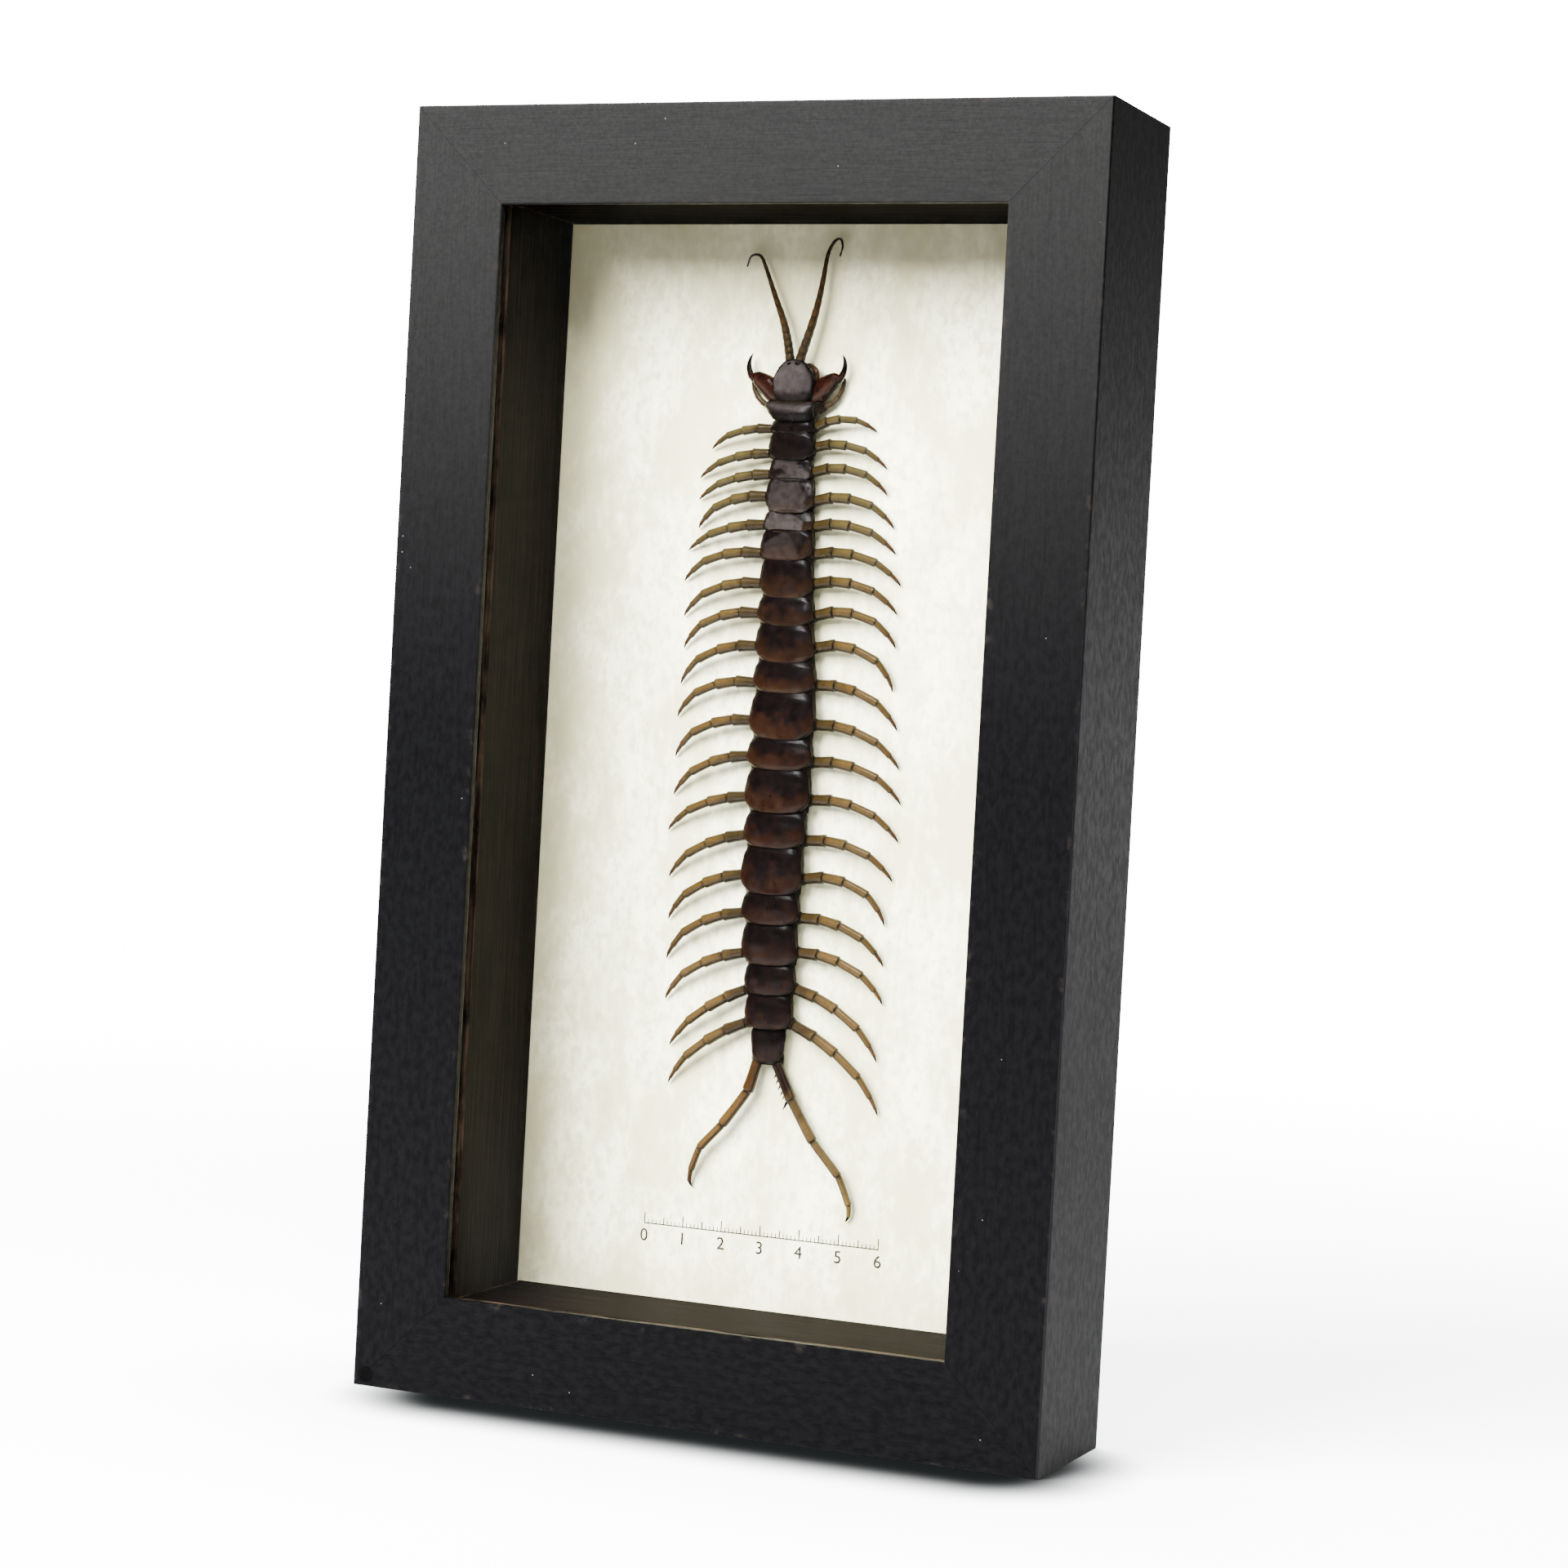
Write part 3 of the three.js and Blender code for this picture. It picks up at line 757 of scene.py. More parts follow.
@dataclass(frozen=True)
class ArtPaper(Finish):
    """Cream laid paper, cloudy and a little foxed, darker in blotches towards its edges, with painted shadow
    under the top rail.
    """

    light: Colour = (0.95, 0.94, 0.66)
    dark: Colour = (0.58, 0.56, 0.33)
    # edge: the darker tone near the sheet's edges, also the colour of the painted shadow under the top rail.
    edge: Colour = (0.45, 0.41, 0.245)
    fox: Colour = (0.16, 0.13, 0.10)

    def dress(self, bench: NodeBench) -> None:
        """Fills the material's tree.

        Args:
            bench: the bench of the material's tree.
        """
        place = bench.place()
        clouds = self.mottle(bench, bench.stretch(place, (1.0, 1.0, 0.55)), 60.0, self.dark, self.light)
        weave = bench.step(bench.noise(bench.stretch(place, (620.0, 620.0, 380.0)), 1.0, 3.0, 0.6), 0.40, 0.72)
        grainy = bench.mix(bench.level(weave, 0.0, 0.8), clouds.outputs["Colour"], self.dark)
        blotches = bench.step(bench.noise(place, 70.0, 3.0, 0.6), 0.35, 0.75)
        # The rim mark darkens the sheet in blotches near its edges and carries the painted shadow under the top
        # rail.
        rim = bench.times(bench.mark("rim"), bench.level(blotches, 0.55, 1.0))
        toned = bench.mix(rim, grainy, self.edge)
        specks = {"Place": place, "Scale": 95.0, "Size": 0.035, "Share": 0.22}
        fox = bench.use(SharedEffects.specks(), specks).outputs["Mask"]
        spotted = bench.mix(bench.level(fox, 0.0, 0.6), toned, self.fox)
        fibre = bench.noise(bench.stretch(place, (2200.0, 2200.0, 700.0)), 1.0, 4.0, 0.65)
        self.surface(bench, {
            "Base Color": spotted, "Roughness": 0.92, "Specular IOR Level": 0.2,
            "Normal": bench.bump(fibre, 0.00012, 0.5),
        })


@dataclass(frozen=True)
class BrownCard(Finish):
    """Brown wrapping paper pasted over a board."""

    light: Colour = (0.36, 0.235, 0.13)
    dark: Colour = (0.25, 0.155, 0.08)

    def dress(self, bench: NodeBench) -> None:
        """Fills the material's tree.

        Args:
            bench: the bench of the material's tree.
        """
        place = bench.place()
        clouds = self.mottle(bench, place, 60.0, self.dark, self.light)
        ribs = bench.noise(bench.stretch(place, (3000.0, 3000.0, 60.0)), 1.0, 2.0, 0.5)
        ribbed = bench.mix(bench.level(ribs, 0.0, 0.3), clouds.outputs["Colour"], self.dark)
        self.surface(bench, {
            "Base Color": ribbed, "Roughness": 0.8, "Specular IOR Level": 0.3,
            "Normal": bench.bump(ribs, 0.0001, 0.4),
        })


@dataclass(frozen=True)
class DullSteel(Finish):
    """Thin galvanised steel."""

    dark: Colour = (0.42, 0.42, 0.43)
    light: Colour = (0.62, 0.62, 0.63)

    def dress(self, bench: NodeBench) -> None:
        """Fills the material's tree.

        Args:
            bench: the bench of the material's tree.
        """
        rolled = bench.noise(bench.stretch(bench.place(), (400.0, 400.0, 4000.0)), 1.0, 3.0, 0.6)
        self.surface(bench, {
            "Base Color": bench.mix(rolled, self.dark, self.light),
            "Metallic": 1.0,
            "Roughness": bench.level(rolled, 0.32, 0.5),
            "Normal": bench.bump(rolled, 0.00004, 0.5),
        })


@dataclass(frozen=True)
class PrintedInk(Finish):
    """Dark grey ink that has sunk a little into the paper."""

    dark: Colour = (0.0080, 0.0074, 0.0060)
    light: Colour = (0.035, 0.033, 0.026)

    def dress(self, bench: NodeBench) -> None:
        """Fills the material's tree.

        Args:
            bench: the bench of the material's tree.
        """
        blots = bench.noise(bench.place(), 3200.0, 3.0, 0.6)
        self.surface(bench, {
            "Base Color": bench.mix(bench.step(blots, 0.35, 0.7), self.dark, self.light),
            "Roughness": 0.85, "Specular IOR Level": 0.2,
            "Normal": bench.bump(blots, 0.00004, 0.4),
        })


@dataclass(frozen=True)
class BackShell(Finish):
    """The back plates: purple-black in front, red-brown behind, half glossy, with painted grey sheen on some
    flats.
    """

    front: Colour = (0.0006, 0.0003, 0.0003)
    front_light: Colour = (0.0018, 0.0008, 0.0008)
    # Grey of the painted sheen and painted highlights on the plates.
    bloom: Colour = (0.0192, 0.0161, 0.0150)
    rim: Colour = (0.0005, 0.0003, 0.0003)
    amber: Colour = (0.0110, 0.0044, 0.0019)
    tan: Colour = (0.0120, 0.0069, 0.0029)
    tan_rear: Colour = (0.0054, 0.0020, 0.0011)
    browns: tuple[tuple[float, Colour], ...] = (
        (0.0, (0.0010, 0.0005, 0.0005)), (0.13, (0.0018, 0.0010, 0.0008)), (0.24, (0.0036, 0.0020, 0.0013)),
        (0.36, (0.0042, 0.0018, 0.0009)), (0.52, (0.0054, 0.0018, 0.0007)), (0.70, (0.0044, 0.0013, 0.0006)),
        (0.84, (0.0028, 0.0008, 0.0005)), (1.0, (0.0016, 0.0006, 0.0006)),
    )

    def dress(self, bench: NodeBench) -> None:
        """Fills the material's tree.

        Args:
            bench: the bench of the material's tree.
        """
        place, across, along_body = bench.place(), bench.mark("across"), bench.mark("body")
        reach = self._reach(bench, across)
        base = self._brown(bench, along_body)
        lit = bench.mix(bench.step(along_body, 0.12, 0.3), base, bench.mix(0.4, base, self.amber))
        brown = self.mottle(bench, place, 520.0, base, lit)
        black = self.mottle(bench, place, 480.0, self.front, self.front_light)
        ground = bench.mix(bench.step(reach, 0.30, 0.78), black.outputs["Colour"], brown.outputs["Colour"])
        tan = bench.mix(bench.step(along_body, 0.5, 0.95), self.tan, self.tan_rear)
        behind = bench.times(bench.step(reach, 0.78, 1.05), bench.step(along_body, 0.1, 0.28), 0.6)
        banded = bench.mix(behind, ground, tan)
        patchy = bench.level(bench.step(bench.noise(place, 640.0, 4.0, 0.62), 0.34, 0.66), 0.45, 1.0)
        # Painted sheen: a grey laid over the collar's crescent and the plates' flats.
        sheen_painted = bench.mix(bench.times(bench.mark("bloom"), patchy), banded, self.bloom)
        rim = bench.times(bench.step(bench.sums("ABSOLUTE", across), 0.9, 0.97), 0.75)
        self.horn(bench, 0.26, 0.50, (0.00035, 0.35), {
            "Base Color": bench.mix(rim, sheen_painted, self.rim),
            "Specular IOR Level": 0.05, "Coat Weight": 0.2, "Coat Roughness": 0.27,
        })

    def _brown(self, bench: NodeBench, along_body: Feed) -> bpy.types.NodeSocket:
        """The brown of the plates' hind halves, which changes from collar to tail.

        Args:
            bench: the bench.
            along_body: how far along the body the plate lies.

        Returns:
            The brown.
        """
        ramp = bench.add("ValToRGB", {0: along_body})
        colours = ramp.color_ramp
        colours.interpolation = "EASE"
        while len(colours.elements) < len(self.browns):
            colours.elements.new(0.5)
        for element, (at, colour) in zip(colours.elements, self.browns):
            element.position = at
            element.color = with_alpha(colour)
        return ramp.outputs[0]

    @staticmethod
    def _reach(bench: NodeBench, across: Feed) -> bpy.types.NodeSocket:
        """How far back on its plate a point counts, with a wandering, bowed border.

        Args:
            bench: the bench.
            across: how far across the plate it lies.

        Returns:
            The distance, 0 in front and 1 behind.
        """
        wander = bench.plus(bench.noise(bench.place(), 290.0, 5.0, 0.65), -0.5)
        bulge = bench.plus(bench.times(across, across, 0.3), -0.1)
        return bench.plus(bench.mark("back"), bench.times(wander, 1.5), bulge)


@dataclass(frozen=True)
class FlankSkin(Finish):
    """The leathery skin between the plates, brown mottled with yellow, with painted shade in its creases."""

    dark: Colour = (0.0006, 0.0004, 0.0003)
    light: Colour = (0.0074, 0.0041, 0.0013)

    def dress(self, bench: NodeBench) -> None:
        """Fills the material's tree.

        Args:
            bench: the bench of the material's tree.
        """
        place = bench.place()
        patches = self.mottle(bench, place, 520.0, self.dark, self.light)
        wrinkles = bench.noise(bench.stretch(place, (1.0, 1.0, 2.6)), 900.0, 4.0, 0.65)
        # Painted shade in the creases: darker where the wrinkles' bump is low.
        folded = bench.mix(bench.step(wrinkles, 0.5, 0.35), patches.outputs["Colour"], self.dark)
        self.surface(bench, {
            "Base Color": folded,
            "Roughness": bench.level(patches.outputs["Mask"], 0.42, 0.6),
            "Specular IOR Level": 0.08,
            "Normal": bench.bump(wrinkles, 0.0004, 0.6),
        })


@dataclass(frozen=True)
class HeadShell(Finish):
    """The head shield: grey-purple with a fine bloom, darker behind and at its rim."""

    bloom: Colour = (0.0181, 0.0149, 0.0144)
    shade: Colour = (0.0122, 0.0099, 0.0096)
    hind: Colour = (0.0030, 0.0018, 0.0018)
    rim: Colour = (0.0007, 0.0004, 0.0004)

    def dress(self, bench: NodeBench) -> None:
        """Fills the material's tree.

        Args:
            bench: the bench of the material's tree.
        """
        place = bench.place()
        ground = self.mottle(bench, place, 600.0, self.shade, self.bloom)
        wander = bench.times(bench.noise(place, 400.0, 3.0, 0.6), 0.35)
        hind = bench.times(bench.step(bench.plus(bench.mark("back"), wander), 0.86, 1.0), 0.92)
        darker = bench.mix(hind, ground.outputs["Colour"], self.hind)
        edged = bench.mix(bench.step(bench.mark("rim"), 0.80, 0.93), darker, self.rim)
        self.horn(bench, 0.36, 0.55, (0.0003, 0.35), {"Base Color": edged, "Specular IOR Level": 0.08})


@dataclass(frozen=True)
class LimbShell(Finish):
    """Legs and feelers: glossy horn, darker near the body, with dark rings at the joints and painted shade on
    their undersides, tail sides and edges.
    """

    root: Colour = (0.0116, 0.0073, 0.0019)
    middle: Colour = (0.0327, 0.0190, 0.0046)
    tip: Colour = (0.0230, 0.0086, 0.0022)
    under: Colour = (0.0062, 0.0036, 0.0011)
    ring: Colour = (0.0013, 0.0007, 0.0004)
    front: Colour | None = None
    gloss: float = 0.26
    grainy: float = 0.0

    def dress(self, bench: NodeBench) -> None:
        """Fills the material's tree.

        Args:
            bench: the bench of the material's tree.
        """
        place = bench.place()
        wander = bench.times(bench.plus(bench.noise(place, 300.0, 3.0, 0.6), -0.5), 0.35)
        reach = bench.plus(bench.mark("along"), wander)
        middle = self.middle
        if self.front:
            middle = bench.mix(bench.step(bench.mark("body"), 0.12, 0.5), self.front, self.middle)
        outer = bench.mix(bench.step(reach, 0.62, 0.95), middle, self.tip)
        whole = bench.mix(bench.step(reach, 0.1, 0.34), self.root, outer)
        streaks = bench.step(bench.noise(place, 1300.0, 3.0, 0.6), 0.42, 0.7)
        stained = bench.mix(bench.level(streaks, 0.0, 0.25 + self.grainy), whole, self.under)
        # Painted shade on the underside and the tail side, from the below mark.
        shaded = bench.mix(bench.times(bench.mark("below"), 0.85), stained, self.under)
        # Painted shade at the edges, where the surface turns away from the view.
        facing = bench.add("LayerWeight", {"Blend": 0.5}).outputs["Facing"]
        edge_shaded = bench.mix(bench.times(bench.step(facing, 0.15, 0.7), 0.72), shaded, self.under)
        self.horn(bench, self.gloss, self.gloss + 0.16, (0.00018 + 0.0002 * self.grainy, 0.4), {
            "Base Color": bench.mix(bench.mark("joint"), edge_shaded, self.ring),
            "Specular IOR Level": 0.12, "Coat Weight": 0.25, "Coat Roughness": 0.22,
        })


@dataclass(frozen=True)
class PincerShell(Finish):
    """Translucent red-brown horn that darkens to black at the claw, with a painted pale highlight along it."""

    dark: Colour = (0.0015, 0.0004, 0.0003)
    light: Colour = (0.0085, 0.0015, 0.0006)
    stripe: Colour = (0.0185, 0.0096, 0.0065)
    claw: Colour = (0.0006, 0.0003, 0.0002)
    ring: Colour = (0.0007, 0.0004, 0.0003)

    def dress(self, bench: NodeBench) -> None:
        """Fills the material's tree.

        Args:
            bench: the bench of the material's tree.
        """
        ground = self.mottle(bench, bench.place(), 520.0, self.dark, self.light)
        # Painted highlight: a pale rosy line along the pincer, from the below mark that the pincer's builder
        # sets.
        highlighted = bench.mix(bench.times(bench.mark("below"), 0.8), ground.outputs["Colour"], self.stripe)
        darker = bench.mix(bench.step(bench.mark("along"), 0.5, 0.68), highlighted, self.claw)
        ringed = bench.mix(bench.times(bench.mark("joint"), 0.8), darker, self.ring)
        self.horn(bench, 0.16, 0.3, (0.00025, 0.35), {"Base Color": ringed, "Specular IOR Level": 0.1})


@dataclass(frozen=True)
class PlainHorn(Finish):
    """Small dark horny pieces: claws, eyes and hip rings."""

    dark: Colour = (0.0012, 0.0008, 0.0007)
    light: Colour = (0.0052, 0.0030, 0.0016)
    gloss: float = 0.22

    def dress(self, bench: NodeBench) -> None:
        """Fills the material's tree.

        Args:
            bench: the bench of the material's tree.
        """
        ground = self.mottle(bench, bench.place(), 900.0, self.dark, self.light).outputs["Colour"]
        feeds = {"Base Color": ground, "Specular IOR Level": 0.1}
        self.horn(bench, self.gloss, self.gloss + 0.18, (0.0002, 0.35), feeds)


@dataclass(frozen=True)
class PaleFloor(Finish):
    """The studio's white floor, which fades into the white room, with a painted contact shadow under the
    frame's front.
    """

    white: float = 16.0
    # shade is the colour of the painted contact shadow.
    shade: Colour = (0.0020, 0.0024, 0.0024)
    open: Colour = (0.90, 0.91, 0.92)
    mirrored: Colour = (0.26, 0.26, 0.265)
    dark_strip: tuple[tuple[str, float, float], ...] = (("X", 0.008, 0.064), ("Y", -0.014, 0.006))

    def dress(self, bench: NodeBench) -> None:
        """Fills the material's tree.

        Args:
            bench: the bench of the material's tree.
        """
        away = bench.add("VectorMath", {0: bench.place()}, operation="LENGTH").outputs["Value"]
        far = bench.step(away, 0.15, 0.9)
        seen = bench.add("LightPath").outputs["Is Camera Ray"]
        glow = bench.times(far, bench.times(seen, self.white))
        # Painted contact shadow: the floor turns to the shade colour near the strip under the frame's front.
        beside = bench.sums("POWER", bench.step(self._beside(bench), -0.001, 0.035), 4.0)
        near = bench.mix(seen, self.mirrored, bench.mix(beside, self.shade, self.open))
        self.surface(bench, {
            "Base Color": bench.mix(far, near, (0.0, 0.0, 0.0)),
            "Roughness": 1.0, "Specular IOR Level": 0.0,
            "Emission Color": (1.0, 1.0, 1.0, 1.0), "Emission Strength": glow,
        })

    def _beside(self, bench: NodeBench) -> bpy.types.NodeSocket:
        """How far a point of the floor lies from the painted shadow strip under the frame's front.

        Args:
            bench: the bench.

        Returns:
            The distance.
        """
        axes = bench.add("SeparateXYZ", {0: bench.place()}).outputs
        gaps = []
        for name, middle, half in self.dark_strip:
            from_middle = bench.sums("ABSOLUTE", bench.plus(axes[name], -middle))
            gaps.append(bench.sums("MAXIMUM", bench.plus(from_middle, -half), 0.0))
        flat = bench.add("CombineXYZ", {"X": gaps[0], "Y": gaps[1]}).outputs[0]
        return bench.add("VectorMath", {0: flat}, operation="LENGTH").outputs["Value"]


RAIL_WOOD = {
    grain: StainedWood(f"black_stained_wood_{grain.name.lower()}", "frame_wood", grain) for grain in Grain
}
STRIP_WOOD = {
    Grain.UPRIGHT: StripWood("strip_wood_upright", "liner_wood"),
    Grain.ACROSS: StripWood(
        "strip_wood_across", "liner_wood", Grain.ACROSS, wall_light=(0.0046, 0.0031, 0.0027), shine=0.006,
    ),
}
GLASS = ClearGlass("clear_glass", "glass")
PAPER = ArtPaper("cream_paper", "paper")
CARD = BrownCard("brown_card", "paper")
STEEL = DullSteel("galvanised_steel", "paper")
INK = PrintedInk("grey_ink", "paper")
BACK = BackShell("back_shell", "shell")
SKIN = FlankSkin("flank_skin", "shell")
HIP = PlainHorn("hip_shell", "shell", dark=(0.0010, 0.0007, 0.0004), light=(0.0089, 0.0049, 0.0016), gloss=0.3)
HEAD = HeadShell("head_shield", "head_shell")
FACE = PlainHorn(
    "face_shell", "head_shell", dark=(0.0007, 0.0004, 0.0004), light=(0.0030, 0.0013, 0.0009), gloss=0.3,
)
EYE = PlainHorn(
    "eye_bead", "head_shell", dark=(0.0003, 0.0003, 0.0004), light=(0.0009, 0.0008, 0.0009), gloss=0.06,
)
PALP = LimbShell(
    "feeler_jaw_shell", "head_shell",
    root=(0.0067, 0.0028, 0.0012), middle=(0.0170, 0.0074, 0.0038), tip=(0.0059, 0.0024, 0.0009),
)
ANTENNA = LimbShell(
    "antenna_shell", "antennae",
    root=(0.0165, 0.0102, 0.0040), middle=(0.0267, 0.0130, 0.0035), tip=(0.0030, 0.0013, 0.0006),
    under=(0.0024, 0.0012, 0.0004), ring=(0.0024, 0.0012, 0.0004), gloss=0.42, grainy=0.45,
)
PINCER = PincerShell("pincer_shell", "pincers")
LEG = LimbShell("leg_shell", "legs", front=(0.0274, 0.0204, 0.0057))
FOLDED = LimbShell(
    "folded_leg_shell", "legs",
    root=(0.0148, 0.0089, 0.0038), middle=(0.0200, 0.0122, 0.0055), tip=(0.0081, 0.0037, 0.0015),
)
HIND_LEG = LimbShell(
    "hind_leg_shell", "legs",
    root=(0.0130, 0.0078, 0.0028), middle=(0.0420, 0.0241, 0.0065), tip=(0.0370, 0.0160, 0.0033),
)
TRAIL_LEFT = LimbShell(
    "trailing_leg_shell_left", "trailing_legs",
    root=(0.0180, 0.0074, 0.0018), middle=(0.0470, 0.0235, 0.0049), tip=(0.0250, 0.0090, 0.0019),
    under=(0.0041, 0.0018, 0.0007),
)
TRAIL_RIGHT = LimbShell(
    "trailing_leg_shell_right", "trailing_legs",
    root=(0.0036, 0.0012, 0.0006), middle=(0.0400, 0.0240, 0.0070), tip=(0.0919, 0.0581, 0.0137),
    under=(0.0024, 0.0010, 0.0005),
)
CLAW = PlainHorn("claw_horn", "legs", dark=(0.0010, 0.0005, 0.0004), light=(0.0050, 0.0020, 0.0009), gloss=0.2)
FLOOR = PaleFloor("studio_floor", "")


# Making meshes


class Workpiece:
    """A mesh on the bench, with the marks that its finish reads."""

    def __init__(self, name: str) -> None:
        """Starts an empty mesh.

        Args:
            name: the finished piece's name.
        """
        self.name = name
        self.bm = bmesh.new()

    def layer(self, name: str) -> bmesh.types.BMLayerItem:
        """The mesh's layer of numbers under a name, made the first time."""
        layers = self.bm.verts.layers.float
        return layers.get(name) or layers.new(name)

    def block(self, low: Sequence[float], high: Sequence[float]) -> list[bmesh.types.BMVert]:
        """Adds a block between two corners.

        Args:
            low: the lowest corner.
            high: the highest corner.

        Returns:
            The block's points.
        """
        size = [b - a for a, b in zip(low, high)]
        centre = [(a + b) / 2 for a, b in zip(low, high)]
        matrix = Matrix.Translation(centre) @ Matrix.Diagonal((*size, 1.0))
        return bmesh.ops.create_cube(self.bm, size=1.0, matrix=matrix)["verts"]

    def cut(
        self, at: Sequence[float], normal: Sequence[float], clear: bool = False,
    ) -> list[bmesh.types.BMVert | bmesh.types.BMEdge]:
        """Cuts the mesh along a plane.

        Args:
            at: a point of the plane.
            normal: the way it looks.
            clear: whether what lies beyond it goes.

        Returns:
            The points and edges of the cut.
        """
        return bmesh.ops.bisect_plane(
            self.bm, geom=[*self.bm.verts, *self.bm.edges, *self.bm.faces], dist=1e-5,
            plane_co=at, plane_no=normal, clear_outer=clear,
        )["geom_cut"]

    def soften(self, edges: Iterable[bmesh.types.BMEdge], offset: float, segments: int = 2) -> None:
        """Rounds edges.

        Args:
            edges: the edges.
            offset: how far the rounding reaches.
            segments: how many faces it has.
        """
        bmesh.ops.bevel(
            self.bm, geom=list(edges), offset=offset, offset_type="OFFSET", segments=segments,
            profile=0.5, affect="EDGES", material=-1, clamp_overlap=True,
        )

    def finish(
        self,
        finish: Finish,
        nodes: Sequence[str] = (),
        axes: Matrix = ANIMAL_AXES,
        levels: int = 0,
        wall: float = 0.0,
        facing: Vector | None = None,
        flat_below: float | None = None,
    ) -> None:
        """Turns the mesh into a piece of the scene.

        Args:
            finish: what it is finished in.
            nodes: the solids that it stands for.
            axes: carries its millimetres into the scene.
            levels: how often it is subdivided.
            wall: how thick a sheet is made, in millimetres.
            facing: where an open sheet's face looks, in its own axes.
            flat_below: edges sharper than this many degrees stay sharp, or None for none.
        """
        bmesh.ops.remove_doubles(self.bm, verts=self.bm.verts, dist=1e-5)
        bmesh.ops.recalc_face_normals(self.bm, faces=self.bm.faces)
        if facing and sum(face.calc_area() * face.normal.dot(facing) for face in self.bm.faces) < 0.0:
            bmesh.ops.reverse_faces(self.bm, faces=self.bm.faces)
        bmesh.ops.transform(self.bm, matrix=axes, verts=self.bm.verts)
        for face in self.bm.faces:
            face.smooth = True
        if flat_below is not None:
            limit = math.radians(flat_below)
            for edge in self.bm.edges:
                edge.smooth = len(edge.link_faces) == 2 and edge.calc_face_angle(0.0) < limit
        mesh = bpy.data.meshes.new(self.name)
        self.bm.to_mesh(mesh)
        self.bm.free()
        mesh.materials.append(finish.material())
        piece = bpy.data.objects.new(self.name, mesh)
        bpy.context.scene.collection.objects.link(piece)
        if wall:
            sheet = piece.modifiers.new("thickness", "SOLIDIFY")
            sheet.thickness = wall * MM
            sheet.offset = -1.0
        if levels:
            smooth = piece.modifiers.new("smooth", "SUBSURF")
            smooth.levels = smooth.render_levels = levels
        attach(piece, "root")
        if nodes:
            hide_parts(*nodes)
        LOG.info("%s: %d faces in %s", self.name, len(mesh.polygons), finish.name)


@dataclass
class Station:
    """One cross section of a drawn-out limb."""

    at: Vector
    along: Vector
    wide: float
    tall: float
    marks: dict[str, float] = field(default_factory=dict)

    def matrix(self) -> Matrix:
        """Carries a flat unit circle to this cross section.

        Returns:
            The matrix that does so.
        """
        across = self.along.cross(OUTWARDS).normalized()
        over = across.cross(self.along).normalized()
        columns = (across * self.wide, over * self.tall, self.along.normalized())
        return Matrix.Translation(self.at) @ Matrix(columns).transposed().to_4x4()


def draw_out(piece: Workpiece, stations: Sequence[Station], sides: int) -> None:
    """Draws a closed limb out through its cross sections.

    Args:
        piece: the mesh it is added to.
        stations: the cross sections, from root to tip.
        sides: how many sides it has.
    """
    bm = piece.bm
    below = piece.layer("below")
    layers = {name: piece.layer(name) for name in stations[0].marks}
    start = stations[0].matrix()
    ring = bmesh.ops.create_circle(bm, cap_ends=True, radius=1.0, segments=sides, matrix=start)["verts"]
    edges = {edge for vert in ring for edge in vert.link_edges}
    for before, station in zip((stations[0], *stations), stations):
        if station is not stations[0]:
            made = bmesh.ops.extrude_edge_only(bm, edges=list(edges))["geom"]
            ring = [item for item in made if isinstance(item, bmesh.types.BMVert)]
            edges = {item for item in made if isinstance(item, bmesh.types.BMEdge)}
            matrix = station.matrix() @ before.matrix().inverted_safe()
            bmesh.ops.transform(bm, matrix=matrix, verts=ring)
        side = station.along.cross(OUTWARDS).normalized()
        over = side.cross(station.along).normalized()
        if side.y > 0.0:
            side.negate()
        # The below mark is painted shade: the underside, and the tail side of a limb that runs sideways.
        for vert in ring:
            out = vert.co - station.at
            under = smooth_step(-out.dot(over) / max(station.tall, 1e-6), -0.5, 0.5)
            tail_shade = smooth_step(out.dot(side) / max(station.wide, 1e-6), 0.0, 0.95) * abs(side.y)
            vert[below] = max(under, 0.9 * tail_shade)
            for name, layer in layers.items():
                vert[layer] = station.marks[name]
    bmesh.ops.edgeloop_fill(bm, edges=list(edges))


def smooth_path(points: Sequence[Vector], share: float, straight: float = 0.0) -> Vector:
    """A place on a smooth curve through points.

    Args:
        points: the points.
        share: how far along, from 0 to 1, each stretch counting alike.
        straight: how far the curve is pulled to the straight stretches.

    Returns:
        The place.
    """
    place = min(max(share, 0.0), 1.0) * (len(points) - 1)
    low = min(int(place), len(points) - 2)
    t = place - low
    first, second = points[low], points[low + 1]
    before = points[low - 1] if low else first * 2.0 - second
    after = points[low + 2] if low + 2 < len(points) else second * 2.0 - first
    curve = 0.5 * (
        2.0 * first + (second - before) * t
        + (2.0 * before - 5.0 * first + 4.0 * second - after) * t * t
        + (3.0 * first - before - 3.0 * second + after) * t ** 3
    )
    return curve.lerp(first.lerp(second, t), straight)


def path_station(
    points: Sequence[Vector], share: float, size: tuple[float, float], marks: dict[str, float],
    look: float = 0.012, straight: float = 0.0,
) -> Station:
    """A cross section square to a smooth curve through points.

    Args:
        points: the points.
        share: how far along the curve it lies.
        size: its half width and half height.
        marks: the marks that it carries.
        look: how far to either side the curve's direction is read.
        straight: how far the curve is pulled to the straight stretches.

    Returns:
        The cross section.
    """
    ahead = smooth_path(points, share + look, straight)
    behind = smooth_path(points, share - look, straight)
    return Station(smooth_path(points, share, straight), (ahead - behind).normalized(), *size, marks)


# Frame


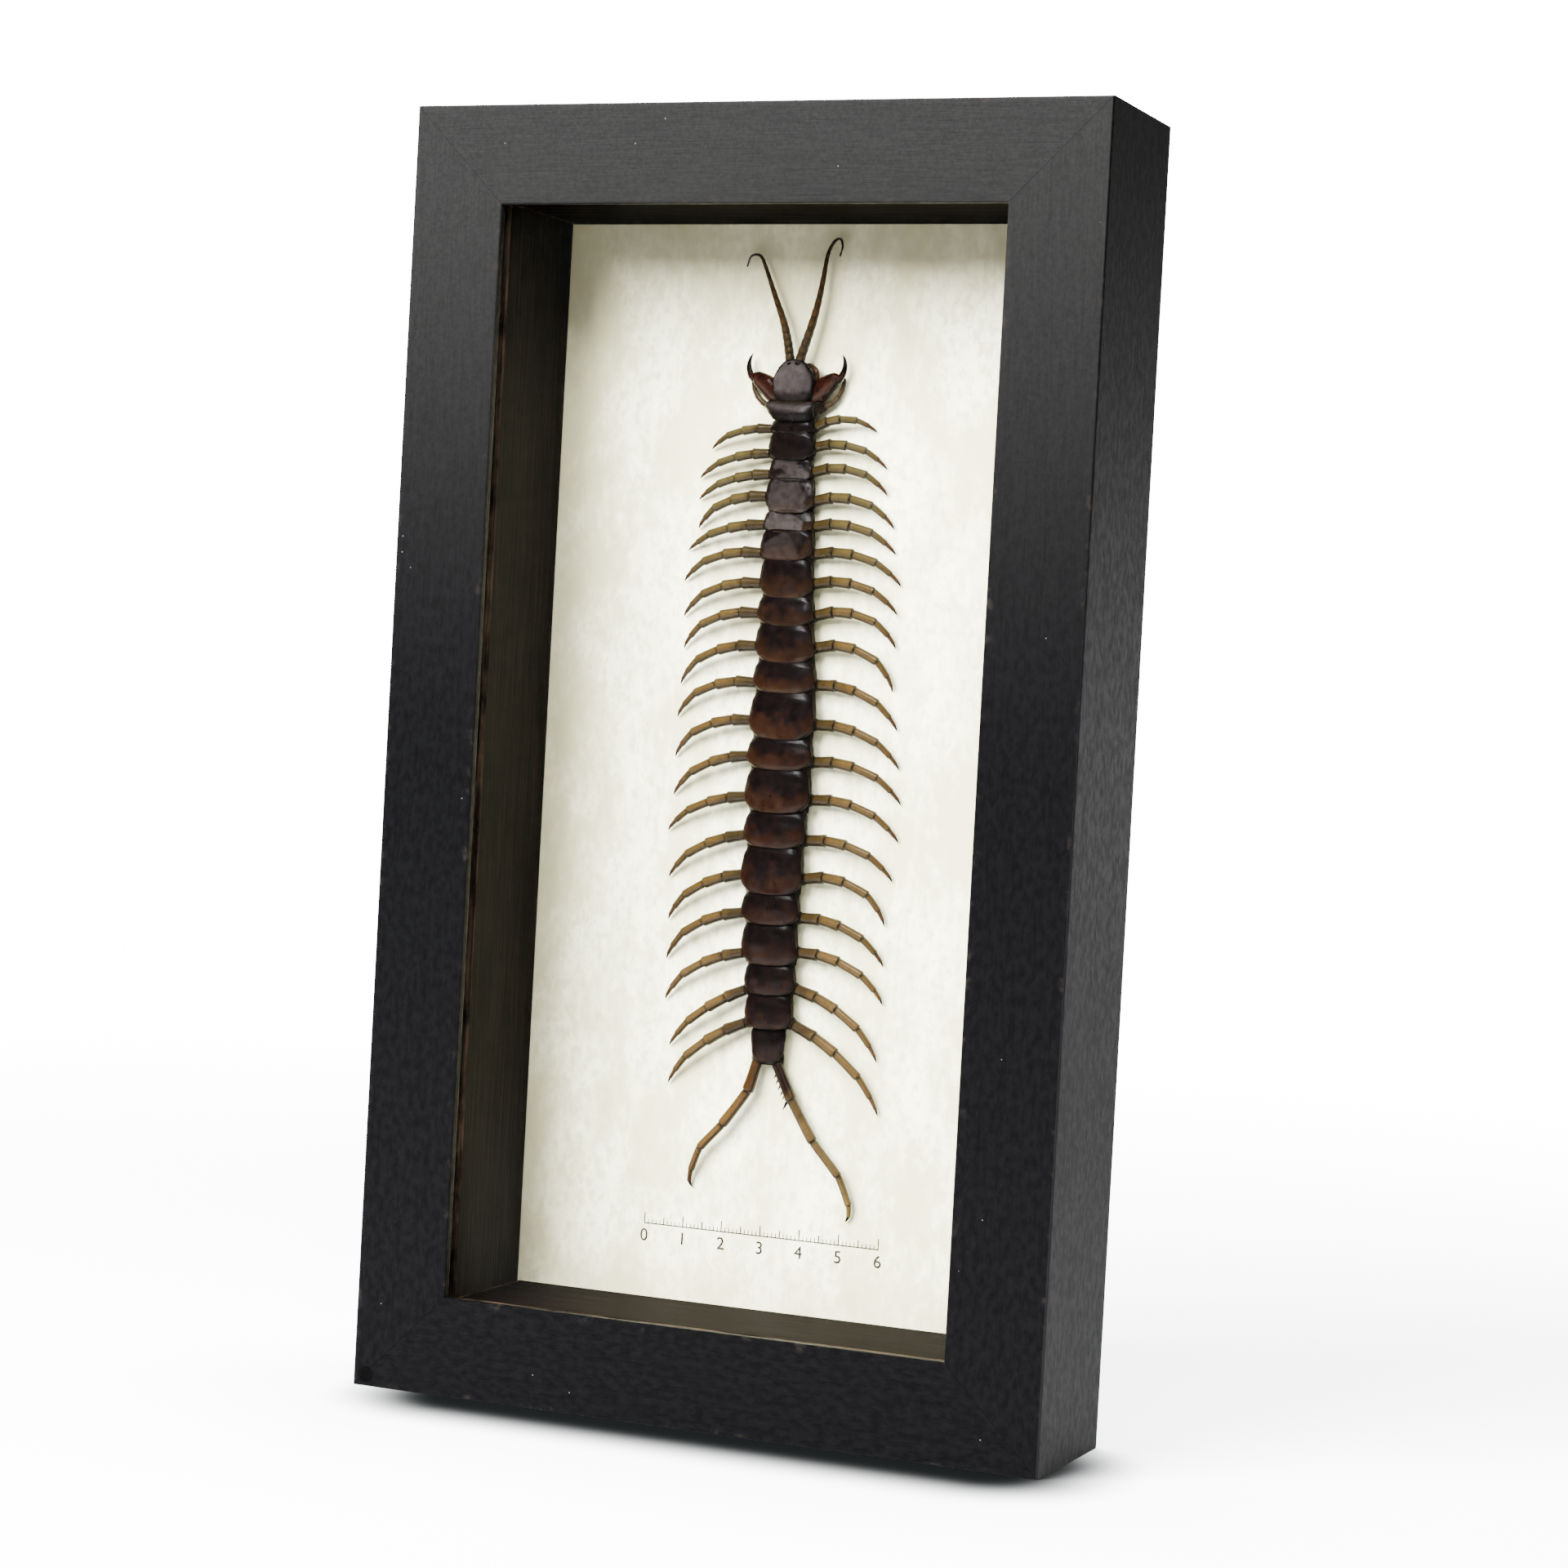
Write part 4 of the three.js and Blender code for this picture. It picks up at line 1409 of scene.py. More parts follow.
@dataclass
class BoxFrame:
    """The mitred moulding, the strips inside it, the pane, the paper and the back."""

    width: float = 170.0
    height: float = 300.0
    depth: float = 42.0
    face: float = 23.0
    lip: float = 3.0
    rabbet: float = 5.0
    outer_round: float = 0.55
    lip_round: float = 0.5
    lip_back: float = 1.3
    mitre_gap: float = 0.08
    strip_start: float = 6.7
    strip_face: float = 22.2
    paper_depth: float = 39.6
    board: float = 1.8
    gap: float = 0.3
    cuts: int = 8
    worn_reach: float = 1.5
    lip_worn_reach: float = 2.2
    raw_depth: float = 0.26
    raw_end: float = 0.7
    paper_cells: tuple[int, int] = (54, 104)
    paper_sheet: float = 0.25
    paper_cockle: float = 0.12
    point_inset: float = 2.6
    point_low: tuple[float, float, float] = (-2.6, -0.17, -4.5)
    point_high: tuple[float, float, float] = (2.6, 0.17, 3.0)
    point_taper: float = 0.55

    @property
    def inset(self) -> float:
        """How far the hollow behind the lip lies in from the frame's outer face."""
        return self.face - self.rabbet + self.gap

    @property
    def half_width(self) -> float:
        """Half the width of what lies in the hollow."""
        return self.width / 2 - self.inset

    def build(self) -> None:
        """Builds every piece of the frame."""
        for name, length, turn, centre, grain in self._rails():
            self._rail(name, length, turn, centre, grain)
        for name, low, high, grain in self._strips():
            self._strip(name, low, high, grain)
        self._paper()
        self._back()
        for slot in bpy.data.objects["glass_pane"].material_slots:
            slot.material = GLASS.material()

    def _rails(self) -> list[tuple[str, float, float, tuple[float, float], Grain]]:
        """The rails.

        Returns:
            Node, length, turn, the middle of the outer face, and grain of each.
        """
        return [
            ("frame_rail_bottom", self.width, 0.0, (0.0, 0.0), Grain.ACROSS),
            ("frame_stile_right", self.height, -90.0, (self.width / 2, self.height / 2), Grain.UPRIGHT),
            ("frame_rail_top", self.width, 180.0, (0.0, self.height), Grain.ACROSS),
            ("frame_stile_left", self.height, 90.0, (-self.width / 2, self.height / 2), Grain.UPRIGHT),
        ]

    def _rail(
        self, name: str, length: float, turn: float, centre: tuple[float, float], grain: Grain,
    ) -> None:
        """Builds one rail from its profile.

        Args:
            name: the node that it stands for.
            length: its outer length.
            turn: its turn in the frame's plane, in degrees.
            centre: the middle of its outer face.
            grain: the way its fibres run.
        """
        piece = Workpiece(name.replace("frame_", "moulding_"))
        bm = piece.bm
        step = self.face - self.rabbet
        corners = [
            (0.0, self.depth), (0.0, 0.0), (self.face, 0.0),
            (self.face, self.lip), (step, self.lip), (step, self.depth),
        ]
        verts = [bm.verts.new((-length / 2, depth - self.depth / 2, inward)) for inward, depth in corners]
        profile = bm.faces.new(verts)
        drawn = bmesh.ops.extrude_face_region(bm, geom=[profile])["geom"]
        ends = [item for item in drawn if isinstance(item, bmesh.types.BMVert)]
        bmesh.ops.translate(bm, vec=(length, 0.0, 0.0), verts=ends)
        bmesh.ops.recalc_face_normals(bm, faces=bm.faces)
        rounds = {1: self.outer_round, 2: self.lip_round, 3: self.lip_back, 0: self.outer_round}
        for index, radius in rounds.items():
            inward, depth = corners[index]
            piece.soften(self._edges_at(bm, depth - self.depth / 2, inward), radius, 4)
        self._mark_edges(piece)
        for sign in (-1.0, 1.0):
            self._mitre(piece, sign, length)
        for index in range(1, self.cuts):
            piece.cut((length * (index / self.cuts - 0.5), 0.0, 0.0), (1.0, 0.0, 0.0))
        matrix = Matrix.Translation((centre[0], 0.0, centre[1])) @ Matrix.Rotation(math.radians(turn), 4, "Y")
        bmesh.ops.transform(bm, matrix=matrix, verts=bm.verts)
        piece.finish(RAIL_WOOD[grain], [name], FRAME_AXES, flat_below=32.0)

    @staticmethod
    def _edges_at(bm: bmesh.types.BMesh, y: float, z: float) -> list[bmesh.types.BMEdge]:
        """The long edges at a place of the profile.

        Args:
            bm: the rail's mesh.
            y: the place's depth from the middle.
            z: how far in it lies.

        Returns:
            The edges.
        """
        return [
            edge for edge in bm.edges
            if all(abs(vert.co.y - y) < 1e-4 and abs(vert.co.z - z) < 1e-4 for vert in edge.verts)
        ]

    def _mitre(self, piece: Workpiece, sign: float, length: float) -> None:
        """Cuts one end of a rail at 45 degrees and closes it.

        Args:
            piece: the rail.
            sign: which end.
            length: the rail's outer length.
        """
        at = (sign * (length / 2 - self.mitre_gap / 2), 0.0, 0.0)
        cut = piece.cut(at, (sign, 0.0, 1.0), clear=True)
        edges = [item for item in cut if isinstance(item, bmesh.types.BMEdge)]
        bmesh.ops.edgeloop_fill(piece.bm, edges=edges)

    def _mark_edges(self, piece: Workpiece) -> None:
        """Marks the rounded corners, where the stain rubs off.

        Args:
            piece: the rail.
        """
        layer = piece.layer("edge")
        bm = piece.bm
        rounded = {
            vert for edge in bm.edges for vert in edge.verts
            if len(edge.link_faces) == 2 and edge.calc_face_angle(0.0) > math.radians(12.0)
        }
        for vert in rounded:
            vert[layer] = 1.0
        front = min(vert.co.y for vert in bm.verts) + self.worn_reach
        back = max(vert.co.y for vert in bm.verts) - self.worn_reach
        inner = max(vert.co.z for vert in bm.verts) - self.lip_worn_reach
        planes = [((0.0, depth, 0.0), (0.0, 1.0, 0.0)) for depth in (front, back)]
        planes += [((0.0, 0.0, inward), (0.0, 0.0, 1.0)) for inward in (self.worn_reach, inner)]
        for at, normal in planes:
            for item in piece.cut(at, normal):
                if isinstance(item, bmesh.types.BMVert):
                    item[layer] = 0.0

    def _strips(self) -> list[tuple[str, Sequence[float], Sequence[float], Grain]]:
        """The strips that line the frame.

        Returns:
            Node, lowest corner, highest corner and grain of each.
        """
        side, low, high = self.half_width, self.inset, self.height - self.inset
        inner = self.width / 2 - self.strip_face
        front = self.strip_start - self.depth / 2
        back = self.paper_depth - self.gap - self.depth / 2
        across = inner - self.gap
        return [
            ("liner_left", (-side, front, low), (-inner, back, high), Grain.UPRIGHT),
            ("liner_right", (inner, front, low), (side, back, high), Grain.UPRIGHT),
            ("liner_bottom", (-across, front, low), (across, back, self.strip_face), Grain.ACROSS),
            ("liner_top", (-across, front, self.height - self.strip_face), (across, back, high), Grain.ACROSS),
        ]

    def _strip(self, name: str, low: Sequence[float], high: Sequence[float], grain: Grain) -> None:
        """Builds one strip, with its raw front face and ends marked.

        Args:
            name: the node that it stands for.
            low: its lowest corner.
            high: its highest corner.
            grain: the way its fibres run.
        """
        piece = Workpiece(name.replace("liner_", "lining_strip_"))
        piece.block(low, high)
        piece.soften(piece.bm.edges, 0.25, 2)
        raw = piece.layer("raw")
        long_axis = 2 if grain is Grain.UPRIGHT else 0
        along = Vector((0.0, 0.0, 1.0)) if long_axis else Vector((1.0, 0.0, 0.0))
        for inset in (0.6, 1.4):
            for at in (low[long_axis] + inset, high[long_axis] - inset):
                piece.cut(along * at, along)
        for depth in (low[1] + 0.5, high[1] - 0.9):
            piece.cut((0.0, depth, 0.0), (0.0, 1.0, 0.0))
        for vert in piece.bm.verts:
            to_end = min(abs(vert.co[long_axis] - end[long_axis]) for end in (low, high))
            front = vert.co.y - low[1]
            bare_end = grain is Grain.ACROSS and to_end < self.raw_end
            vert[raw] = 1.0 if front < self.raw_depth or bare_end else 0.0
            if high[1] - vert.co.y < 0.3:
                vert[raw] = 0.6
        piece.finish(STRIP_WOOD[grain], [name], FRAME_AXES, flat_below=50.0)

    def _paper(self) -> None:
        """Builds the cream sheet, very slightly cockled."""
        piece = Workpiece("cream_sheet")
        half_width, half_height = self.half_width, self.height / 2 - self.inset
        face = self.paper_depth - self.depth / 2
        turn = Matrix.Translation((0.0, face, self.height / 2)) @ Matrix.Rotation(math.radians(90.0), 4, "X")
        bmesh.ops.create_grid(
            piece.bm, x_segments=self.paper_cells[0], y_segments=self.paper_cells[1], size=1.0,
            matrix=turn @ Matrix.Diagonal((half_width, half_height, 1.0, 1.0)),
        )
        rim = piece.layer("rim")
        for vert in piece.bm.verts:
            edge = min(half_width - abs(vert.co.x), half_height - abs(vert.co.z - self.height / 2))
            # Painted shadow under the top rail, laid into the rim mark.
            top_rail_shadow = smooth_step(vert.co.z, self.height - 62.0, self.height - 24.0)
            vert[rim] = min(1.0, 0.75 * (1.0 - smooth_step(edge, 2.0, 24.0)) + 0.45 * top_rail_shadow)
            wave = 0.5 + 0.5 * noise.noise(vert.co * 0.03)
            vert.co.y += self.paper_cockle * wave * smooth_step(edge, 2.0, 12.0)
        front = Vector((0.0, -1.0, 0.0))
        piece.finish(PAPER, ["paper_board"], FRAME_AXES, wall=self.paper_sheet, facing=front)

    def _back(self) -> None:
        """Builds the board behind the paper, its brown paper and the points that hold it."""
        half_width, low = self.half_width, self.inset
        front = self.paper_depth + 0.45 - self.depth / 2
        back = self.paper_depth + self.board - self.depth / 2
        board = Workpiece("back_board")
        board.block((-half_width, front, low), (half_width, back, self.height - low))
        board.soften(board.bm.edges, 0.2, 2)
        board.finish(CARD, ["paper_board"], FRAME_AXES, flat_below=40.0)
        points = Workpiece("framing_points")
        for x, z, turn in self._point_places():
            fresh = points.block(self.point_low, self.point_high)
            for vert in fresh:
                if vert.co.z > 0.0:
                    vert.co.x *= self.point_taper
            matrix = Matrix.Translation((x, back + 0.2, z)) @ Matrix.Rotation(math.radians(turn), 4, "Y")
            bmesh.ops.transform(points.bm, matrix=matrix, verts=fresh)
        points.finish(STEEL, (), FRAME_AXES, flat_below=30.0)

    def _point_places(self) -> list[tuple[float, float, float]]:
        """Where the points that hold the back stand, and how they are turned.

        Returns:
            Place across, place up and turn in degrees of each.
        """
        low, aside = self.inset + self.point_inset, self.half_width - self.point_inset
        ends = ((low, 0.0), (self.height - low, 180.0))
        places = [(x, z, turn) for x in (-32.0, 32.0) for z, turn in ends]
        sides = ((-aside, 90.0), (aside, -90.0))
        return places + [(x, z, turn) for x, turn in sides for z in (75.0, 150.0, 225.0)]


@dataclass
class ScaleBar:
    """A plain printed centimetre scale with numbers, under the animal."""

    left: float = -30.0
    up: float = 39.5
    centimetres: int = 6
    line: float = 0.22
    letter: float = 4.2
    lift: float = 0.06
    number_gap: float = 1.2
    long_mark: float = 2.6
    half_mark: float = 1.8
    short_mark: float = 1.1

    def build(self) -> None:
        """Builds the line, its marks and its numbers as one thin printed piece."""
        piece = Workpiece("printed_scale")
        end = self.left + 10.0 * self.centimetres
        self._stroke(piece, self.left - self.line / 2, end + self.line / 2, self.up, self.up + self.line)
        for step in range(self.centimetres * 10 + 1):
            x = self.left + step
            tall = self.long_mark if step % 10 == 0 else self.half_mark if step % 5 == 0 else self.short_mark
            thin = self.line if step % 5 == 0 else self.line * 0.6
            self._stroke(piece, x - thin / 2, x + thin / 2, self.up, self.up + tall)
        for number in range(self.centimetres + 1):
            self._number(piece, str(number), self.left + 10.0 * number)
        piece.finish(INK, (), ANIMAL_AXES)

    def _stroke(self, piece: Workpiece, left: float, right: float, low: float, high: float) -> None:
        """Adds one printed stroke.

        Args:
            piece: the print.
            left: its left edge.
            right: its right edge.
            low: its lower edge.
            high: its upper edge.
        """
        piece.block((left, low, self.lift - 0.05), (right, high, self.lift))

    def _number(self, piece: Workpiece, text: str, x: float) -> None:
        """Adds one number, centred below its mark.

        Args:
            piece: the print.
            text: the number.
            x: where its middle lies.
        """
        curve = bpy.data.curves.new("numeral", "FONT")
        curve.body = text
        curve.size = self.letter
        curve.align_x = "CENTER"
        curve.extrude = 0.02
        holder = bpy.data.objects.new("numeral", curve)
        bpy.context.scene.collection.objects.link(holder)
        shape = holder.to_mesh()
        before = set(piece.bm.verts)
        piece.bm.from_mesh(shape)
        fresh = [vert for vert in piece.bm.verts if vert not in before]
        down = self.up - self.number_gap - self.letter * 0.7
        bmesh.ops.translate(piece.bm, verts=fresh, vec=(x, down, self.lift - 0.02))
        holder.to_mesh_clear()
        bpy.data.objects.remove(holder)
        bpy.data.curves.remove(curve)


# Trunk


@dataclass(frozen=True)
class Dent:
    """A hollow that drying left in a back plate."""

    plate: int
    across: float
    back: float
    reach: float
    depth: float


@dataclass(frozen=True)
class Facet:
    """A flat that drying left on a back plate, and how much painted grey sheen it carries."""

    plate: int
    level: float
    across: float
    back: float
    bloom: float


@dataclass
class BackPlates:
    """The 21 shell plates along the back."""

    segments_across: int = 26
    segments_along: int = 14
    thickness: float = 0.3
    arch: float = math.radians(76.0)
    rim_share: float = 0.6
    collar_hollow: float = 1.3
    collar_lean: float = 0.24
    front_lap: float = 0.25
    rear_gap: float = 0.35
    longest_corner: float = 8.0
    rim_bead: float = 0.12
    rear_bead: float = 0.05
    collar_widths: Pairs = ((0.0, 0.88), (0.14, 0.98), (0.3, 1.0), (0.62, 0.88), (1.0, 0.73))
    plate_widths: Pairs = ((0.0, 0.88), (0.25, 0.99), (0.6, 1.05), (0.86, 1.01), (1.0, 0.86))
    last_widths: Pairs = ((0.0, 1.03), (0.2, 1.10), (0.8, 1.0), (1.0, 0.78))
    collar_rises: Pairs = ((0.0, 0.78), (0.28, 0.93), (0.62, 1.0), (1.0, 0.95))
    plate_rises: Pairs = ((0.0, 0.86), (0.16, 0.95), (0.5, 1.0), (0.85, 0.99), (1.0, 0.95))
    dents: tuple[Dent, ...] = (
        Dent(3, -0.2, 0.5, 0.36, 0.75), Dent(3, 0.5, 0.35, 0.26, 0.5), Dent(4, 0.42, 0.35, 0.2, 0.5),
        Dent(4, 0.6, 0.7, 0.22, 0.4), Dent(5, 0.5, 0.7, 0.3, 0.55), Dent(6, 0.25, 0.6, 0.3, 0.35),
        Dent(6, -0.3, 0.15, 0.4, 0.3),
        Dent(7, 0.1, 0.55, 0.6, 0.35), Dent(8, 0.35, 0.25, 0.35, 0.35), Dent(2, 0.1, 0.6, 0.5, 0.25),
        Dent(14, 0.5, 0.25, 0.32, 0.25), Dent(12, 0.55, 0.2, 0.3, 0.2), Dent(19, 0.0, 0.5, 0.7, 0.2),
    )
    facets: tuple[Facet, ...] = (
        Facet(3, 0.82, 0.04, 0.06, 0.50), Facet(3, 0.90, -0.20, -0.08, 1.0), Facet(4, 0.78, 0.0, 0.03, 0.46),
        Facet(4, 0.98, -0.34, 0.26, 0.04), Facet(4, 0.95, -0.22, -0.20, 0.62),
        Facet(5, 0.78, 0.05, -0.05, 0.92), Facet(5, 0.96, -0.30, 0.34, 0.03),
        Facet(6, 0.86, 0.08, -0.08, 0.30), Facet(6, 0.92, -0.16, 0.06, 0.12),
        Facet(7, 0.94, -0.10, -0.06, 0.10), Facet(8, 0.95, -0.10, -0.10, 0.0), Facet(9, 0.95, 0.08, -0.10, 0.0),
        Facet(11, 0.96, -0.10, -0.10, 0.0), Facet(13, 0.96, 0.08, -0.08, 0.0),
        Facet(15, 0.96, -0.12, -0.06, 0.0),
    )

    def build(self) -> None:
        """Builds every plate as a piece of its own."""
        for plate in range(PLAN.count):
            self._plate(plate)

    def _plate(self, plate: int) -> None:
        """Builds one plate.

        Args:
            plate: its number, from 0 at the collar.
        """
        piece = Workpiece(f"back_plate_{plate + 1:02d}")
        counts = {"x_segments": self.segments_across, "y_segments": self.segments_along}
        bmesh.ops.create_grid(piece.bm, size=1.0, **counts)
        across, back, body, bloom = (piece.layer(name) for name in ("across", "back", "body", "bloom"))
        for vert in piece.bm.verts:
            u, v = vert.co.x, 0.5 - vert.co.y / 2.0
            vert[across], vert[back], vert[body] = u, v, plate / (PLAN.count - 1)
            vert.co = self._point(plate, u, v)
            vert[bloom] = self._flatten(plate, u, v, vert.co)
        piece.finish(BACK, [PLAN.node(plate)], levels=1, wall=self.thickness, facing=OUTWARDS)

    def _flatten(self, plate: int, u: float, v: float, point: Vector) -> float:
        """Cuts a point of a plate down to its flats.

        Args:
            plate: the plate's number.
            u: how far across it, from -1 to 1.
            v: how far back on it, from 0 to 1.
            point: the point, which is lowered in place.

        Returns:
            The painted sheen at the point: a painted highlight in a crescent on the collar, and grey sheen on
                the flats.
        """
        # Painted highlight: a grey crescent across the collar's front.
        crescent_highlight = bell(v - 0.32 + 0.18 * u * u, 0.24) * (1.0 - smooth_step(abs(u), 0.55, 0.92))
        bloom = 0.62 * crescent_highlight if plate == 0 else 0.0
        for facet in self.facets:
            if facet.plate != plate:
                continue
            share = facet.level + facet.across * u + facet.back * (v - 0.5)
            over = point.z - PLAN.belly - PLAN.height(plate) * share
            if over > 0.0:
                inner = smooth_step(v, 0.0, 0.06) * (1.0 - smooth_step(v, 0.94, 1.0))
                point.z -= over * inner
                bloom += (facet.bloom - bloom) * min(1.0, over / 0.04) * inner
        return bloom

    def _width(self, plate: int, v: float) -> float:
        """A plate's half width from its front to its back edge, as a share of its fullest.

        Args:
            plate: its number.
            v: how far back, from 0 to 1.

        Returns:
            The share.
        """
        if plate == 0:
            return smooth_value(self.collar_widths, v)
        return smooth_value(self.last_widths if plate == PLAN.count - 1 else self.plate_widths, v)

    def _point(self, plate: int, u: float, v: float) -> Vector:
        """A point of a plate.

        Args:
            plate: its number.
            u: how far across, from -1 to 1.
            v: how far back, from 0 to 1.

        Returns:
            The point.
        """
        collar, last = plate == 0, plate == PLAN.count - 1
        front = PLAN.front(plate) + (-self.collar_hollow * (1.0 - abs(u) ** 2.2) if collar else self.front_lap)
        rear = PLAN.front(plate + 1) - (0.0 if last else self.rear_gap)
        corner = min(PLAN.lengths[plate], self.longest_corner)
        up = front + (rear - front) * v
        front_round = 0.14 if collar else 0.06
        up += 0.17 * corner * abs(u) ** 4 * v ** 3 - front_round * corner * abs(u) ** 3 * (1.0 - v) ** 3
        half = PLAN.half_widths[plate] * self._width(plate, v)
        if collar:
            half *= 1.0 - self.collar_lean * max(0.0, u) * (1.0 - smooth_step(v, 0.4, 1.0))
        height = PLAN.height(plate) * smooth_value(self.collar_rises if collar else self.plate_rises, v)
        angle = self.arch * u
        drop = (math.cos(angle) - math.cos(self.arch)) / (1.0 - math.cos(self.arch))
        rise = PLAN.belly + height * (self.rim_share + (1.0 - self.rim_share) * drop)
        point = Vector((PLAN.middle(up) + half * math.sin(angle) / math.sin(self.arch), up, rise))
        point.z += self.rim_bead * bell(abs(u) - 0.95, 0.035) + self.rear_bead * bell(1.0 - v, 0.05)
        return point + Vector((0.0, 0.0, self._unevenness(plate, u, v, point)))

    def _unevenness(self, plate: int, u: float, v: float, point: Vector) -> float:
        """How far drying has raised or sunk a point.

        Args:
            plate: the plate's number.
            u: how far across it.
            v: how far back on it.
            point: the point.

        Returns:
            The lift, in millimetres.
        """
        inner = smooth_step(v, 0.0, 0.08) * (1.0 - smooth_step(v, 0.93, 1.0))
        inner *= 1.0 - smooth_step(abs(u), 0.86, 1.0)
        lift = 0.16 * noise.noise(point * 0.32)
        if 3 <= plate <= 6:
            lift += 0.10 * noise.noise(point * 0.9 + Vector((3.0, 1.0, 7.0)))
            lift -= 0.14 * abs(noise.noise(point * 0.33 + Vector((9.0, 4.0, 2.0))))
        for dent in self.dents:
            if dent.plate == plate:
                along = (v - dent.back) * PLAN.lengths[plate] / PLAN.half_widths[plate]
                lift -= dent.depth * bell(math.hypot(u - dent.across, along), dent.reach)
        return lift * inner


@dataclass
class FlankSkinBody:
    """The soft body under the plates: one skin from the collar to the last plate.

    The skin's height, as a share of the plates', is read from sunk. Each of the scales beside a plate
    is a place along it, a height, a length and a thickness.
    """

    sides: int = 32
    stations_per_plate: int = 7
    collar_swell: Pairs = ((0.0, 0.94), (0.3, 0.96), (0.62, 0.86), (1.0, 0.70))
    last_swell: Pairs = ((0.0, 0.98), (0.7, 0.94), (1.0, 0.66))
    sunk: Pairs = (
        (0.0, 0.72), (1.0, 0.86), (2.6, 0.86), (3.0, 0.70), (6.1, 0.70), (6.6, 0.86), (21.0, 0.86),
    )
    scales: tuple[tuple[float, float, float, float], ...] = (
        (0.2, 0.42, 0.9, 0.55), (0.55, 0.5, 1.2, 0.5), (0.86, 0.36, 0.8, 0.5),
    )
    rng: random.Random = field(default_factory=lambda: random.Random(7))

    def build(self) -> None:
        """Builds the skin and the side plates."""
        self._skin()
        for side in Side:
            self._side_plates(side)

    def _skin(self) -> None:
        """Builds the skin as one drawn-out closed body with a flat belly."""
        piece = Workpiece("body_skin")
        stations = [
            self._station(plate, step / self.stations_per_plate)
            for plate in range(PLAN.count) for step in range(self.stations_per_plate)
        ]
        stations.append(self._station(PLAN.count - 1, 1.0))
        first, last = stations[0], stations[-1]
        stations.insert(0, Station(first.at, first.along, first.wide * 0.6, first.tall * 0.6))
        stations.append(Station(last.at + last.along * 0.6, last.along, last.wide * 0.7, last.tall * 0.7))
        draw_out(piece, stations, self.sides)
        for vert in piece.bm.verts:
            fold = 0.22 * noise.noise(Vector((vert.co.x * 0.4, vert.co.y * 0.9, vert.co.z * 0.9)))
            outward = Vector((vert.co.x - PLAN.middle(vert.co.y), 0.0, 0.0))
            if outward.length > 0.5:
                vert.co += outward.normalized() * fold
            vert.co.z = max(vert.co.z, PLAN.belly + 0.05)
        piece.finish(SKIN, ["trunk_front", "trunk_middle", "trunk_rear"], levels=1)

    def _station(self, plate: int, v: float) -> Station:
        """One cross section of the skin.

        Args:
            plate: the plate above it.
            v: how far back under the plate.

        Returns:
            The cross section.
        """
        up = PLAN.front(plate) - v * PLAN.lengths[plate] - (1.3 if plate == 0 and v == 0.0 else 0.0)
        swell = 0.93 + 0.07 * math.sin(math.pi * v)
        if plate == 0:
            swell = smooth_value(self.collar_swell, v)
        if plate == PLAN.count - 1:
            swell = smooth_value(self.last_swell, v)
        half = PLAN.half_widths[plate] * swell
        height = PLAN.height(plate) * smooth_value(self.sunk, plate + v)
        centre = Vector((PLAN.middle(up), up, PLAN.belly + height * 0.42))
        return Station(centre, Vector((0.0, -1.0, 0.0)), half, height * 0.5)

    def _side_plates(self, side: Side) -> None:
        """Builds the small shell plates round each hip.

        Args:
            side: which side.
        """
        piece = Workpiece(f"side_plates_{side.word}")
        for plate in range(1, PLAN.count):
            for share, lift, long, tall in self.scales:
                up = PLAN.front(plate) - share * PLAN.lengths[plate]
                out = PLAN.half_widths[plate] * 0.9 + self.rng.uniform(-0.1, 0.1)
                rise = PLAN.belly + lift * PLAN.height(plate) * 0.9
                at = Vector((PLAN.middle(up) + side.value * out, up, rise))
                lean = Matrix.Rotation(side.value * self.rng.uniform(0.2, 0.5), 4, "Y")
                size = Matrix.Diagonal((0.34, long * PLAN.lengths[plate] * 0.16 + 0.3, tall + 0.25, 1.0))
                bmesh.ops.create_icosphere(
                    piece.bm, subdivisions=2, radius=1.0, matrix=Matrix.Translation(at) @ lean @ size,
                )
        piece.finish(HIP)


# Legs


@dataclass(frozen=True)
class LimbShape:
    """The joints of one limb with the radius at the start and end of each article."""

    joints: list[Vector]
    starts: Sequence[float]
    ends: Sequence[float]
    size: float = 1.0


